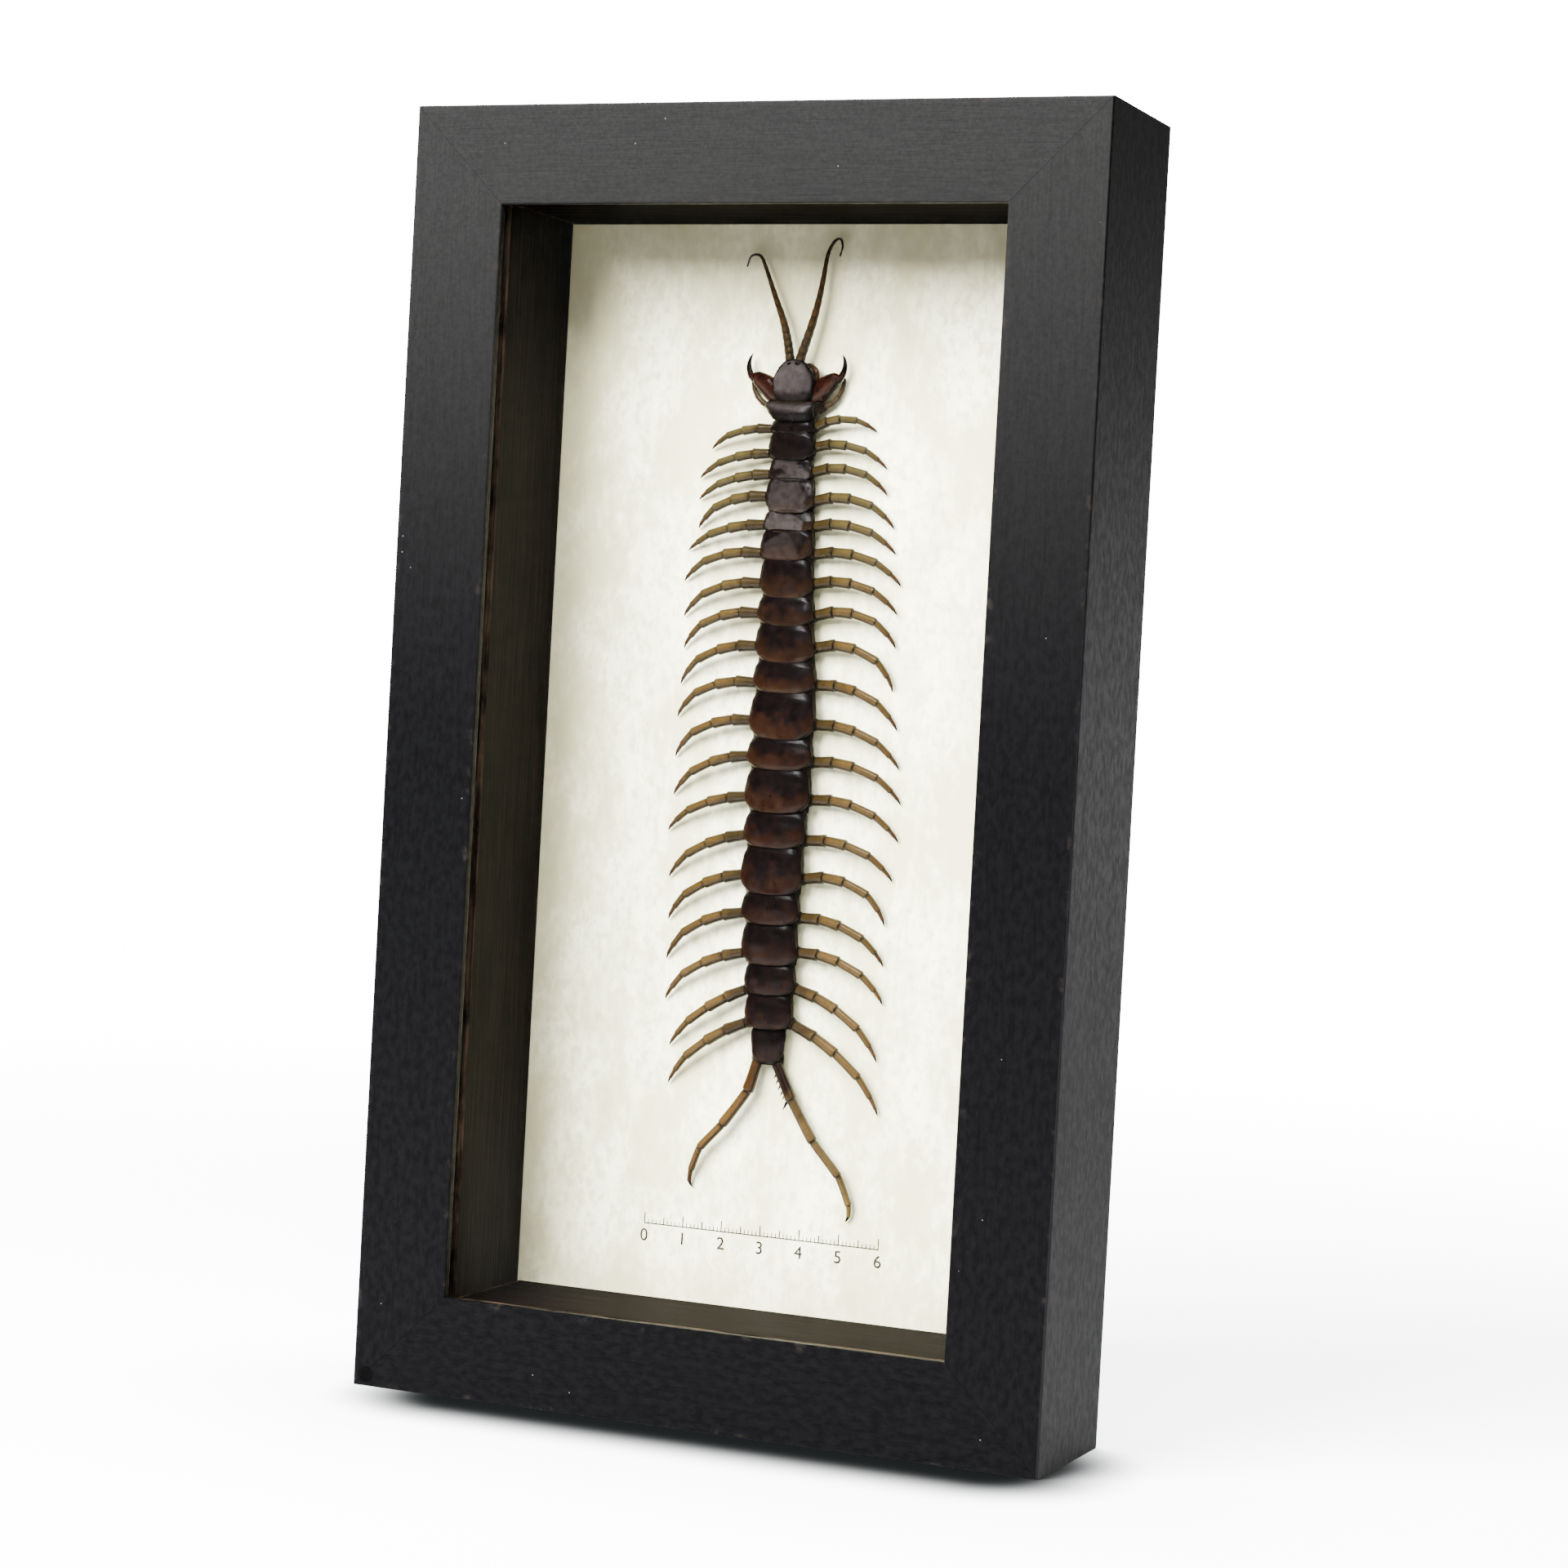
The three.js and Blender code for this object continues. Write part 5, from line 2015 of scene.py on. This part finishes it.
@dataclass
class Legs:
    """The 21 pairs of legs, with their hips and claws.

    A row of left or right is one spread leg, from the second pair on: where along its plate it starts,
    how far out and how far up the paper its claw lies, and how strongly it bends. The first pair is
    folded forward beside the head, and the last one trails. A spine is a place along the thigh, a
    length and half a width. A row of swell is a place along an article, its width and its joint mark.
    """

    left: tuple[tuple[float, float, float, float], ...] = (
        (0.72, 22.9, 224.6, 0.65), (0.82, 25.6, 217.6, 0.6), (0.78, 25.6, 212.5, 0.6), (0.55, 25.3, 205.7, 0.9),
        (0.73, 27.6, 200.4, 0.6), (0.83, 28.3, 193, 0.85), (0.67, 27.9, 184.7, 0.9), (0.63, 27.4, 177.2, 1),
        (0.62, 27.8, 168.6, 1), (0.74, 28.2, 160.8, 1), (0.65, 28.2, 151.3, 1), (0.64, 28.1, 142.2, 0.85),
        (0.7, 29.1, 133.7, 0.7), (0.73, 28.2, 122.6, 0.75), (0.65, 27.8, 112.5, 0.85), (0.73, 27.7, 103.1, 0.9),
        (0.79, 27.5, 93.4, 0.8), (0.96, 25.8, 82.6, 0.5), (0.93, 25.6, 73.6, 0.6),
    )
    right: tuple[tuple[float, float, float, float], ...] = (
        (0.48, 18.9, 229.4, 1.05), (0.52, 21.9, 220.8, 1), (0.61, 22.3, 214.7, 1.15), (0.64, 24.4, 207, 1.15),
        (0.73, 25.2, 201.1, 1), (0.8, 26.9, 193.8, 1), (0.62, 26.3, 187.2, 1.05), (0.62, 26.4, 179.3, 1.3),
        (0.58, 26.2, 169.2, 1.45), (0.72, 27.9, 160.2, 1.1), (0.67, 28.9, 151.3, 1), (0.72, 29.8, 143.2, 1),
        (0.69, 29.7, 134.4, 1), (0.77, 28.8, 125.2, 1), (0.65, 27.3, 114.8, 1.4), (0.76, 27.7, 105.3, 1.05),
        (0.68, 28, 96.5, 1.05), (0.8, 27.3, 83, 0.9), (0.88, 28.3, 70.6, 0.8),
    )
    hip_reach: float = 0.3
    hip_length: float = 2.4
    shares: tuple[float, ...] = (0.2, 0.215, 0.255, 0.18, 0.095, 0.055)
    turns: tuple[float, ...] = (0, 11, 12, 20, 9, 12)
    heights: tuple[float, ...] = (2.1, 2.8, 3, 2.5, 1.5, 0.95, 0.5)
    starts: tuple[float, ...] = (1.36, 1.30, 1.08, 0.86, 0.56, 0.31)
    ends: tuple[float, ...] = (1.52, 1.37, 1.07, 0.71, 0.39, 0.13)
    trail_left: tuple[tuple[float, float], ...] = (
        (-2.1, 81.2), (-4.1, 73.8), (-10.1, 65.3), (-15.6, 59.3), (-18, 53.6), (-18.5, 50.8), (-17.6, 49.4),
    )
    trail_right: tuple[tuple[float, float], ...] = (
        (2.8, 81), (7.3, 72.6), (13.3, 63.4), (20, 55.9), (22.6, 49.3), (22.5, 46.6), (21.6, 45.2),
    )
    trail_heights: tuple[float, ...] = (2, 2.5, 2.7, 2.4, 1.5, 0.9, 0.6)
    trail_starts: tuple[float, ...] = (1.36, 1.22, 1.06, 0.90, 0.66, 0.43)
    trail_ends: tuple[float, ...] = (1.44, 1.24, 1.02, 0.81, 0.51, 0.14)
    folded: tuple[tuple[float, float], ...] = (
        (7.4, 235), (9, 236), (10.4, 237.5), (11.3, 239.4), (11.6, 241), (11.6, 242),
    )
    folded_heights: tuple[float, ...] = (1.25, 1.2, 1.15, 1.1, 1, 0.8)
    folded_starts: tuple[float, ...] = (0.72, 0.68, 0.62, 0.52, 0.4)
    folded_ends: tuple[float, ...] = (0.74, 0.7, 0.6, 0.46, 0.14)
    hip_stops: Pairs = ((-1.0, 1.28), (-0.55, 1.26), (-0.2, 1.16), (-0.02, 1.06), (0.04, 0.9))
    claw_stops: Pairs = (
        (-0.06, 0.8), (0.0, 0.98), (0.25, 0.86), (0.5, 0.66), (0.75, 0.42), (0.93, 0.2), (1.0, 0.07),
    )
    claw_bow: float = 0.096
    sides: int = 12
    straightness: float = 0.55
    spines: tuple[tuple[float, float, float], ...] = (
        (0.24, 1.5, 0.30), (0.38, 1.6, 0.32), (0.53, 1.7, 0.32), (0.68, 1.7, 0.32), (0.8, 1.6, 0.30),
        (0.97, 2.6, 0.42),
    )
    swell: tuple[tuple[float, float, float], ...] = (
        (0.0, 0.90, 0.95), (0.03, 0.985, 0.55), (0.09, 1.0, 0.0), (0.3, 0.99, 0.0), (0.55, 1.0, 0.0),
        (0.78, 1.03, 0.0), (0.91, 1.07, 0.0), (0.965, 1.05, 0.25), (0.995, 0.96, 0.9),
    )

    def build(self) -> None:
        """Builds the legs one by one, then all hips and claws of a side."""
        for side in Side:
            hips = Workpiece(f"hips_{side.word}")
            claws = Workpiece(f"leg_claws_{side.word}")
            for plate in range(PLAN.count):
                shape = self._shape(plate, side)
                self._leg(plate, side, shape)
                self._hip(hips, shape)
                self._claw(claws, shape)
            hips.finish(HIP, levels=1)
            claws.finish(CLAW, levels=1)

    def _shape(self, plate: int, side: Side) -> LimbShape:
        """The joints and radii of one leg.

        Args:
            plate: the plate that it belongs to.
            side: which side.

        Returns:
            The leg's shape.
        """
        if plate == 0:
            joints = [
                Vector((PLAN.middle(up) + side.value * out, up, height))
                for (out, up), height in zip(self.folded, self.folded_heights)
            ]
            return LimbShape(joints, self.folded_starts, self.folded_ends)
        if plate == PLAN.count - 1:
            path = self.trail_left if side is Side.LEFT else self.trail_right
            joints = [Vector((x, up, height)) for (x, up), height in zip(path, self.trail_heights)]
            return LimbShape(joints, self.trail_starts, self.trail_ends)
        share, claw_out, claw_up, bend = (self.left if side is Side.LEFT else self.right)[plate - 1]
        up = PLAN.front(plate) - share * PLAN.lengths[plate]
        hip = Vector((side.value * PLAN.middle(up) + PLAN.half_widths[plate] + self.hip_reach, up))
        flat = self._chain(hip, Vector((claw_out, claw_up)), bend)
        joints = [Vector((side.value * point.x, point.y, height)) for point, height in zip(flat, self.heights)]
        return LimbShape(joints, self.starts, self.ends, min(1.0, 0.8 + 0.05 * plate))

    def _chain(self, hip: Vector, claw: Vector, bend: float) -> list[Vector]:
        """A bent chain of articles fitted between a hip and a claw tip.

        Args:
            hip: where it starts.
            claw: where it ends.
            bend: how strongly it bends.

        Returns:
            Its joints, in the plane of the paper.
        """
        reach = [Vector((0.0, 0.0))]
        heading = 0.0
        for turn, share in zip(self.turns, self.shares):
            heading -= math.radians(turn * bend)
            reach.append(reach[-1] + share * Vector((math.cos(heading), math.sin(heading))))
        wanted = claw - hip
        scale = wanted.length / reach[-1].length
        turn = math.atan2(wanted.y, wanted.x) - math.atan2(reach[-1].y, reach[-1].x)
        rotation = Matrix.Rotation(turn, 2)
        return [hip + scale * (rotation @ point) for point in reach]

    def _leg(self, plate: int, side: Side, shape: LimbShape) -> None:
        """Builds one leg without its claw.

        Args:
            plate: the plate that it belongs to.
            side: which side.
            shape: its shape.
        """
        piece = Workpiece(f"walking_leg_{side.word}_{plate + 1:02d}")
        count = len(shape.starts) - 1
        stations = []
        for article in range(count):
            for share, swell, ring in self.swell:
                radius = shape.starts[article] + (shape.ends[article] - shape.starts[article]) * share
                radius *= swell * shape.size
                marks = {"along": (article + share) / count, "joint": ring, "body": plate / (PLAN.count - 1)}
                stations.append(path_station(
                    shape.joints, (article + share) / (count + 1), (radius, radius * 0.95), marks,
                    straight=self.straightness,
                ))
        tip = stations[-1]
        stations.append(Station(tip.at + tip.along * 0.1, tip.along, tip.wide * 0.6, tip.tall * 0.6, tip.marks))
        draw_out(piece, stations, self.sides)
        if plate == PLAN.count - 1 and side is Side.RIGHT:
            self._spines(piece, shape)
        piece.finish(self._finish(plate, side), [f"leg_{side.word}_{plate + 1:02d}"], levels=1)

    @staticmethod
    def _finish(plate: int, side: Side) -> Finish:
        """The finish of a leg.

        Args:
            plate: the plate that it belongs to.
            side: which side.

        Returns:
            The finish.
        """
        if plate == 0:
            return FOLDED
        if plate == PLAN.count - 1:
            return TRAIL_LEFT if side is Side.LEFT else TRAIL_RIGHT
        return HIND_LEG if plate >= PLAN.count - 4 else LEG

    def _spines(self, piece: Workpiece, shape: LimbShape) -> None:
        """Adds the spines on the inner edge of the right trailing thigh.

        Args:
            piece: the leg.
            shape: the leg's shape.
        """
        thigh = shape.joints[1] - shape.joints[0]
        along = thigh.normalized()
        inner = -OUTWARDS.cross(along).normalized()
        heading = (inner + along * 0.75).normalized()
        marks = {"along": 0.05, "joint": 0.6, "body": 1.0}
        for share, length, half in self.spines:
            root = shape.joints[0] + thigh * share + inner
            draw_out(piece, [
                Station(root + heading * length * step, heading, half * wide, half * wide, marks)
                for step, wide in ((0.0, 1.0), (0.35, 0.92), (0.7, 0.55), (0.92, 0.24), (1.0, 0.08))
            ], 8)

    def _hip(self, hips: Workpiece, shape: LimbShape) -> None:
        """Adds the hip that a leg grows from.

        Args:
            hips: the mesh of all hips.
            shape: the leg's shape.
        """
        along = (shape.joints[1] - shape.joints[0]).normalized()
        radius = shape.starts[0] * shape.size
        draw_out(hips, [
            Station(shape.joints[0] + along * self.hip_length * at, along, radius * wide, radius * wide * 0.94)
            for at, wide in self.hip_stops
        ], 12)

    def _claw(self, claws: Workpiece, shape: LimbShape) -> None:
        """Adds the claw at a leg's end.

        Args:
            claws: the mesh of all claws.
            shape: the leg's shape.
        """
        start, end = shape.joints[-2], shape.joints[-1]
        before = (start - shape.joints[-3]).normalized()
        reach = end - start
        radius = shape.starts[-1] * shape.size
        stations = []
        for share, wide in self.claw_stops:
            bow = self.claw_bow * reach.length * math.sin(math.pi * max(share, 0.0))
            at = start + reach * share + before * bow
            heading = before.lerp(reach.normalized(), 0.4 + 0.6 * max(share, 0.0)).normalized()
            stations.append(Station(at, heading, radius * wide, radius * wide))
        draw_out(claws, stations, 10)


# Head


@dataclass
class Head:
    """The head shield with its eyes, face, feeler jaws, antennae and pincers."""

    along: float = 240.9
    half_width: float = 5.2
    shield_along: float = 240.75
    shield_half_length: float = 5.6
    shield_aside: float = -0.25
    shield_base: float = 3.35
    shield_dome: float = 2.0
    shield_bead: float = 0.14
    shield_wall: float = 0.35
    shield_cells: int = 30
    eye_height: float = 4.05
    jaw: tuple[tuple[float, float], ...] = (
        (237.1, 5.1), (238.5, 5.4), (240.5, 5.2), (242.4, 4.3), (243.8, 3.2), (244.6, 2.0),
    )
    jaw_height: float = 2.4
    palp: tuple[tuple[float, float, float], ...] = (
        (3.9, 240.9, 2), (4.9, 241.8, 2), (4.7, 243.3, 2), (3.6, 244.4, 1.9), (2.2, 245, 1.8),
    )
    palp_radii: tuple[float, ...] = (0.65, 0.75, 0.75, 0.6, 0.4)
    palp_joints: tuple[float, ...] = (0.36, 0.7)
    palp_steps: int = 24
    eyes: tuple[tuple[float, float, float], ...] = (
        (3.75, 243.7, 0.34), (4.15, 242.9, 0.34), (3.2, 244.2, 0.34), (3.85, 243.2, 0.3),
    )
    wall: tuple[tuple[float, float], ...] = ((-4.371, 3.6), (-2.4, 4.75), (0.0, 4.9), (2.4, 4.3), (4.371, 1.7))
    antenna_left: tuple[tuple[float, float, float], ...] = (
        (-2.75, 245.3, 3.5), (-3.4, 248.4, 3.4), (-4.2, 251.5, 3.2), (-5.3, 255, 3.1), (-7.2, 259.3, 2.9),
        (-9, 263.5, 2.7), (-10.7, 267.3, 2.4), (-12, 269.8, 2.2), (-13.4, 270.5, 2), (-15, 270, 1.8),
        (-16, 267.7, 1.4),
    )
    antenna_right: tuple[tuple[float, float, float], ...] = (
        (-0.45, 245.3, 3.5), (0.45, 248.4, 3.4), (1.35, 251.5, 3.2), (2.6, 256, 3.1), (3.4, 260, 2.9),
        (4.1, 264.5, 2.7), (4.5, 268.4, 2.5), (5, 271.3, 2.2), (6.2, 273.6, 2), (7.6, 274.2, 1.8),
        (8.1, 272.4, 1.6), (7.4, 270.2, 1.2),
    )
    antenna_radii: tuple[float, ...] = (1.22, 1.16, 1.06, 0.86, 0.68, 0.52, 0.42, 0.34, 0.28, 0.2)
    beads: int = 19
    bead_parts: tuple[tuple[float, float, float], ...] = (
        (0.04, 0.9, 0.7), (0.3, 1.0, 0.0), (0.72, 1.03, 0.0), (0.97, 0.92, 0.6),
    )
    pincer: tuple[tuple[float, float, float], ...] = (
        (1.6, 235.4, 1.5), (5.0, 237.8, 1.7), (7.5, 240.0, 2.0), (9.6, 241.4, 2.2), (11, 241.9, 2.2),
        (11.7, 243.2, 2.1), (11.95, 244.6, 2), (11.75, 246, 1.9), (11.15, 247.3, 1.8),
    )
    pincer_radii: tuple[float, ...] = (2.1, 2.65, 2.45, 1.8, 0.92, 0.72, 0.57, 0.36, 0.1)
    pincer_joints: tuple[float, ...] = (0.43, 0.49, 0.545)
    pincer_steps: int = 56
    pincer_flatness: float = 0.72
    stripe_steps: int = 40
    left_spread: float = 0.5

    def build(self) -> None:
        """Builds the head's pieces."""
        self._shield()
        self._face()
        for side in Side:
            self._eyes(side)
            self._palp(side)
            self._antenna(side)
            self._pincer(side)

    def _at(self, out: float, up: float, height: float) -> Vector:
        """A point from its place across the head's own middle line."""
        return Vector((PLAN.middle(self.along) + out, up, height))

    def _shield(self) -> None:
        """Builds the round shield as a low dome with a turned-down rim."""
        piece = Workpiece("head_plate")
        cells = self.shield_cells
        bmesh.ops.create_grid(piece.bm, x_segments=cells, y_segments=cells, size=1.0)
        back, rim = piece.layer("back"), piece.layer("rim")
        for vert in piece.bm.verts:
            x, y = vert.co.x, vert.co.y
            flat = Vector((x * math.sqrt(1.0 - y * y / 2.0), y * math.sqrt(1.0 - x * x / 2.0)))
            radius = min(1.0, flat.length)
            vert[back], vert[rim] = 0.5 - flat.y / 2.0, radius
            out = self.shield_aside + flat.x * self.half_width * 1.05 * self._breadth(flat.y)
            up = self.shield_along + flat.y * self.shield_half_length * (1.0 - 0.04 * max(0.0, flat.y) ** 6)
            height = self.shield_base + self.shield_dome * (1.0 - radius ** 2.6) ** 0.75
            height += self.shield_bead * bell(radius - 0.955, 0.03)
            height += 0.10 * noise.noise(Vector((out, up, 2.0)) * 0.45) * (1.0 - radius)
            vert.co = self._at(out, up, height)
        piece.finish(HEAD, ["head"], levels=1, wall=self.shield_wall, facing=OUTWARDS)

    @staticmethod
    def _breadth(y: float) -> float:
        """How much wider than a circle the shield is at a place along it.

        Args:
            y: the place, from -1 at its rear to 1 in front.

        Returns:
            The share: nearly square behind, narrower in front.
        """
        if y >= 0.0:
            return 1.0 - 0.12 * smooth_step(y, 0.0, 0.6)
        place = min(-y, 0.985)
        return min(2.0, (1.0 - place ** 3) ** (1.0 / 3.0) / math.sqrt(1.0 - place ** 2))

    def _face(self) -> None:
        """Builds what lies under the shield: the head's walls, the jaw plate and the sockets."""
        piece = Workpiece("face")
        draw_out(piece, [
            Station(self._at(0.0, self.along + ahead, 2.95), Vector((0.0, 1.0, 0.0)), half, 1.45)
            for ahead, half in self.wall
        ], 20)
        middle = (PLAN.belly + self.jaw_height) / 2
        tall = (self.jaw_height - PLAN.belly) * 0.55
        draw_out(piece, [
            Station(self._at(0.0, up, middle), Vector((0.0, 1.0, 0.0)), half, tall) for up, half in self.jaw
        ], 20)
        for path in (self.antenna_left, self.antenna_right):
            first, second = Vector(path[0]), Vector(path[1])
            heading = (second - first).normalized()
            draw_out(piece, [
                Station(first - heading * (0.3 + at), heading, radius, radius)
                for at, radius in ((2.3, 1.2), (1.2, 1.25), (0.6, 1.3), (0.15, 1.25), (-0.2, 1.0))
            ], 14)
        piece.finish(FACE, ["head"], levels=1)

    def _eyes(self, side: Side) -> None:
        """Builds the four beads of one eye group.

        Args:
            side: which side.
        """
        piece = Workpiece(f"eye_{side.word}")
        for out, up, radius in self.eyes:
            bmesh.ops.create_icosphere(
                piece.bm, subdivisions=3, radius=radius,
                matrix=Matrix.Translation(self._at(side.value * out, up, self.eye_height)),
            )
        piece.finish(EYE)

    def _palp(self, side: Side) -> None:
        """Builds one feeler jaw, tucked under the shield on the left.

        Args:
            side: which side.
        """
        piece = Workpiece(f"feeler_jaw_{side.word}")
        tuck = 0.7 if side is Side.LEFT else 0.0
        points = [self._at(side.value * (out - tuck), up, height) for out, up, height in self.palp]
        stations = []
        for step in range(self.palp_steps + 1):
            share = step / self.palp_steps
            joint = max(bell(share - at, 0.03) for at in self.palp_joints)
            radius = spread_value(self.palp_radii, share) * (1.0 - 0.12 * joint)
            radius *= smooth_value([(0.0, 0.5), (0.06, 1.0), (0.92, 1.0), (1.0, 0.3)], share)
            marks = {"along": 0.3 + 0.6 * share, "joint": 0.8 * joint}
            stations.append(path_station(points, share, (radius, radius), marks, look=0.02))
        draw_out(piece, stations, 12)
        piece.finish(PALP, ["head"], levels=1)

    def _antenna(self, side: Side) -> None:
        """Builds one beaded antenna.

        Args:
            side: which side.
        """
        piece = Workpiece(f"feeler_{side.word}")
        path = self.antenna_left if side is Side.LEFT else self.antenna_right
        points = [Vector(point) for point in path]
        stations = []
        for bead in range(self.beads):
            for part, swell, ring in self.bead_parts:
                share = (bead + part) / self.beads
                radius = spread_value(self.antenna_radii, share) * swell
                marks = {"along": share, "joint": ring * (1.0 - 0.5 * share)}
                stations.append(path_station(points, share, (radius, radius), marks, look=0.01))
        tip = stations[-1]
        stations.append(Station(tip.at + tip.along * 0.12, tip.along, 0.08, 0.08, tip.marks))
        draw_out(piece, stations, 12)
        piece.finish(ANTENNA, [f"antenna_{side.word}"], levels=1)

    def _pincer(self, side: Side) -> None:
        """Builds one pincer: the stout base, two short rings and the long claw.

        Args:
            side: which side.
        """
        piece = Workpiece(f"poison_claw_{side.word}")
        spread = self.left_spread if side is Side.LEFT else 0.0
        points = [
            self._at(side.value * (out + spread * min(1.0, step / 4)), up, height)
            for step, (out, up, height) in enumerate(self.pincer)
        ]
        stations = []
        for step in range(self.pincer_steps + 1):
            share = 0.03 + 0.97 * step / self.pincer_steps
            joint = max(bell(share - at, 0.012) for at in self.pincer_joints)
            radius = spread_value(self.pincer_radii, share) * (1.0 - 0.1 * joint)
            radius *= smooth_value([(0.0, 0.6), (0.16, 1.0), (1.0, 1.0)], share)
            flat = self.pincer_flatness + (1.0 - self.pincer_flatness) * smooth_step(share, 0.4, 0.8)
            marks = {"along": share, "joint": joint}
            stations.append(path_station(points, share, (radius, radius * flat), marks))
        draw_out(piece, stations, 16)
        self._stripe(piece, points)
        piece.finish(PINCER, [f"pincer_{side.word}"], levels=1)

    def _stripe(self, piece: Workpiece, points: Sequence[Vector]) -> None:
        """Marks the painted highlight along a pincer, a little outside its middle and on its upper side.

        Args:
            piece: the pincer.
            points: the middle line that it was drawn along.
        """
        # Here the below layer holds the painted highlight.
        pale = piece.layer("below")
        last = self.stripe_steps
        line = [smooth_path(points, step / last) for step in range(last + 1)]
        for vert in piece.bm.verts:
            step, near = min(enumerate(line), key=lambda item: (item[1] - vert.co).length)
            radius = spread_value(self.pincer_radii, step / last)
            ahead = line[min(step + 1, last)] - line[max(step - 1, 0)]
            sideways = (vert.co - near).dot(ahead.cross(OUTWARDS).normalized()) / radius
            if points[0].x < PLAN.middle(self.along):
                sideways = -sideways
            vert[pale] = bell(sideways - 0.35, 0.22) * smooth_step(vert.co.z - near.z, 0.0, 0.6 * radius)


# Studio


@dataclass(frozen=True)
class Lamp:
    """A soft panel lamp."""

    name: str
    at: tuple[float, float, float]
    aim: tuple[float, float, float]
    size: float
    watts: float
    mirrored: bool = True


@dataclass
class Studio:
    """The camera at the photograph's viewing angle, soft lamps, a white room and a pale floor."""

    lens: float = 83.216
    sensor: float = 36.0
    camera_at: tuple[float, float, float] = (0.3305, -0.7673, 0.1662)
    right: tuple[float, float, float] = (0.91996, 0.38829, 0.05423)
    up: tuple[float, float, float] = (-0.05898, 0.00032, 0.99826)
    back: tuple[float, float, float] = (0.38758, -0.92155, 0.02319)
    lamps: tuple[Lamp, ...] = (
        Lamp("window_left", (-0.50, -0.90, 0.84), (0.0, 0.0, 0.14), 0.85, 232.0, mirrored=False),
        Lamp("window_above", (0.20, -0.62, 0.76), (0.0, 0.0, 0.16), 0.28, 11.0),
        Lamp("window_behind", (0.62, 0.85, 0.03), (0.08, 0.0, 0.13), 0.5, 7.0),
        Lamp("window_top", (0.0, 0.14, 1.25), (0.0, 0.0, 0.0), 0.4, 95.0, mirrored=False),
    )
    sky: float = 0.6
    sky_mirrored: float = 0.12
    sky_seen: float = 16.0
    sky_colour: Colour = (0.985, 0.995, 1.0)

    def build(self) -> None:
        """Sets up the camera, lamps, sky and floor."""
        self._camera()
        for lamp in self.lamps:
            self._lamp(lamp)
        self._sky()
        self._floor()

    def _camera(self) -> None:
        """Places the camera."""
        camera = bpy.data.objects.new("camera", bpy.data.cameras.new("camera"))
        camera.data.lens = self.lens
        camera.data.sensor_width = self.sensor
        camera.data.clip_start = 0.01
        axes = Matrix((self.right, self.up, self.back)).transposed().to_4x4()
        camera.matrix_world = Matrix.Translation(self.camera_at) @ axes
        bpy.context.scene.collection.objects.link(camera)
        bpy.context.scene.camera = camera

    @staticmethod
    def _lamp(lamp: Lamp) -> None:
        """Hangs one lamp.

        Args:
            lamp: the lamp.
        """
        data = bpy.data.lights.new(lamp.name, "AREA")
        data.shape = "SQUARE"
        data.size = lamp.size
        data.energy = lamp.watts
        holder = bpy.data.objects.new(lamp.name, data)
        holder.visible_glossy = lamp.mirrored
        holder.location = lamp.at
        holder.rotation_euler = (Vector(lamp.aim) - Vector(lamp.at)).to_track_quat("-Z", "Y").to_euler()
        bpy.context.scene.collection.objects.link(holder)

    def _sky(self) -> None:
        """Gives the room its even white light."""
        world = bpy.data.worlds.new("white_room")
        bpy.context.scene.world = world
        world.use_nodes = True
        bench = NodeBench(world.node_tree)
        ray = bench.add("LightPath")
        lit = bench.level(ray.outputs["Is Glossy Ray"], self.sky, self.sky_mirrored)
        seen = bench.times(ray.outputs["Is Camera Ray"], self.sky_seen - self.sky)
        feeds = {"Color": with_alpha(self.sky_colour), "Strength": bench.plus(lit, seen)}
        light = bench.add("Background", feeds)
        bench.add("OutputWorld", {"Surface": light.outputs[0]})

    @staticmethod
    def _floor() -> None:
        """Lays the floor."""
        bm = bmesh.new()
        bmesh.ops.create_grid(bm, x_segments=2, y_segments=2, size=6.0)
        mesh = bpy.data.meshes.new("floor")
        bm.to_mesh(mesh)
        bm.free()
        mesh.materials.append(FLOOR.material())
        floor = bpy.data.objects.new("floor", mesh)
        bpy.context.scene.collection.objects.link(floor)


def main() -> None:
    """Builds the framed centipede and the studio around it."""
    logging.basicConfig(level=logging.INFO, format="%(name)s %(message)s")
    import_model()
    for maker in (BoxFrame(), ScaleBar(), BackPlates(), FlankSkinBody(), Legs(), Head(), Studio()):
        LOG.info("building %s", type(maker).__name__)
        maker.build()


if __name__ == "__main__":
    main()
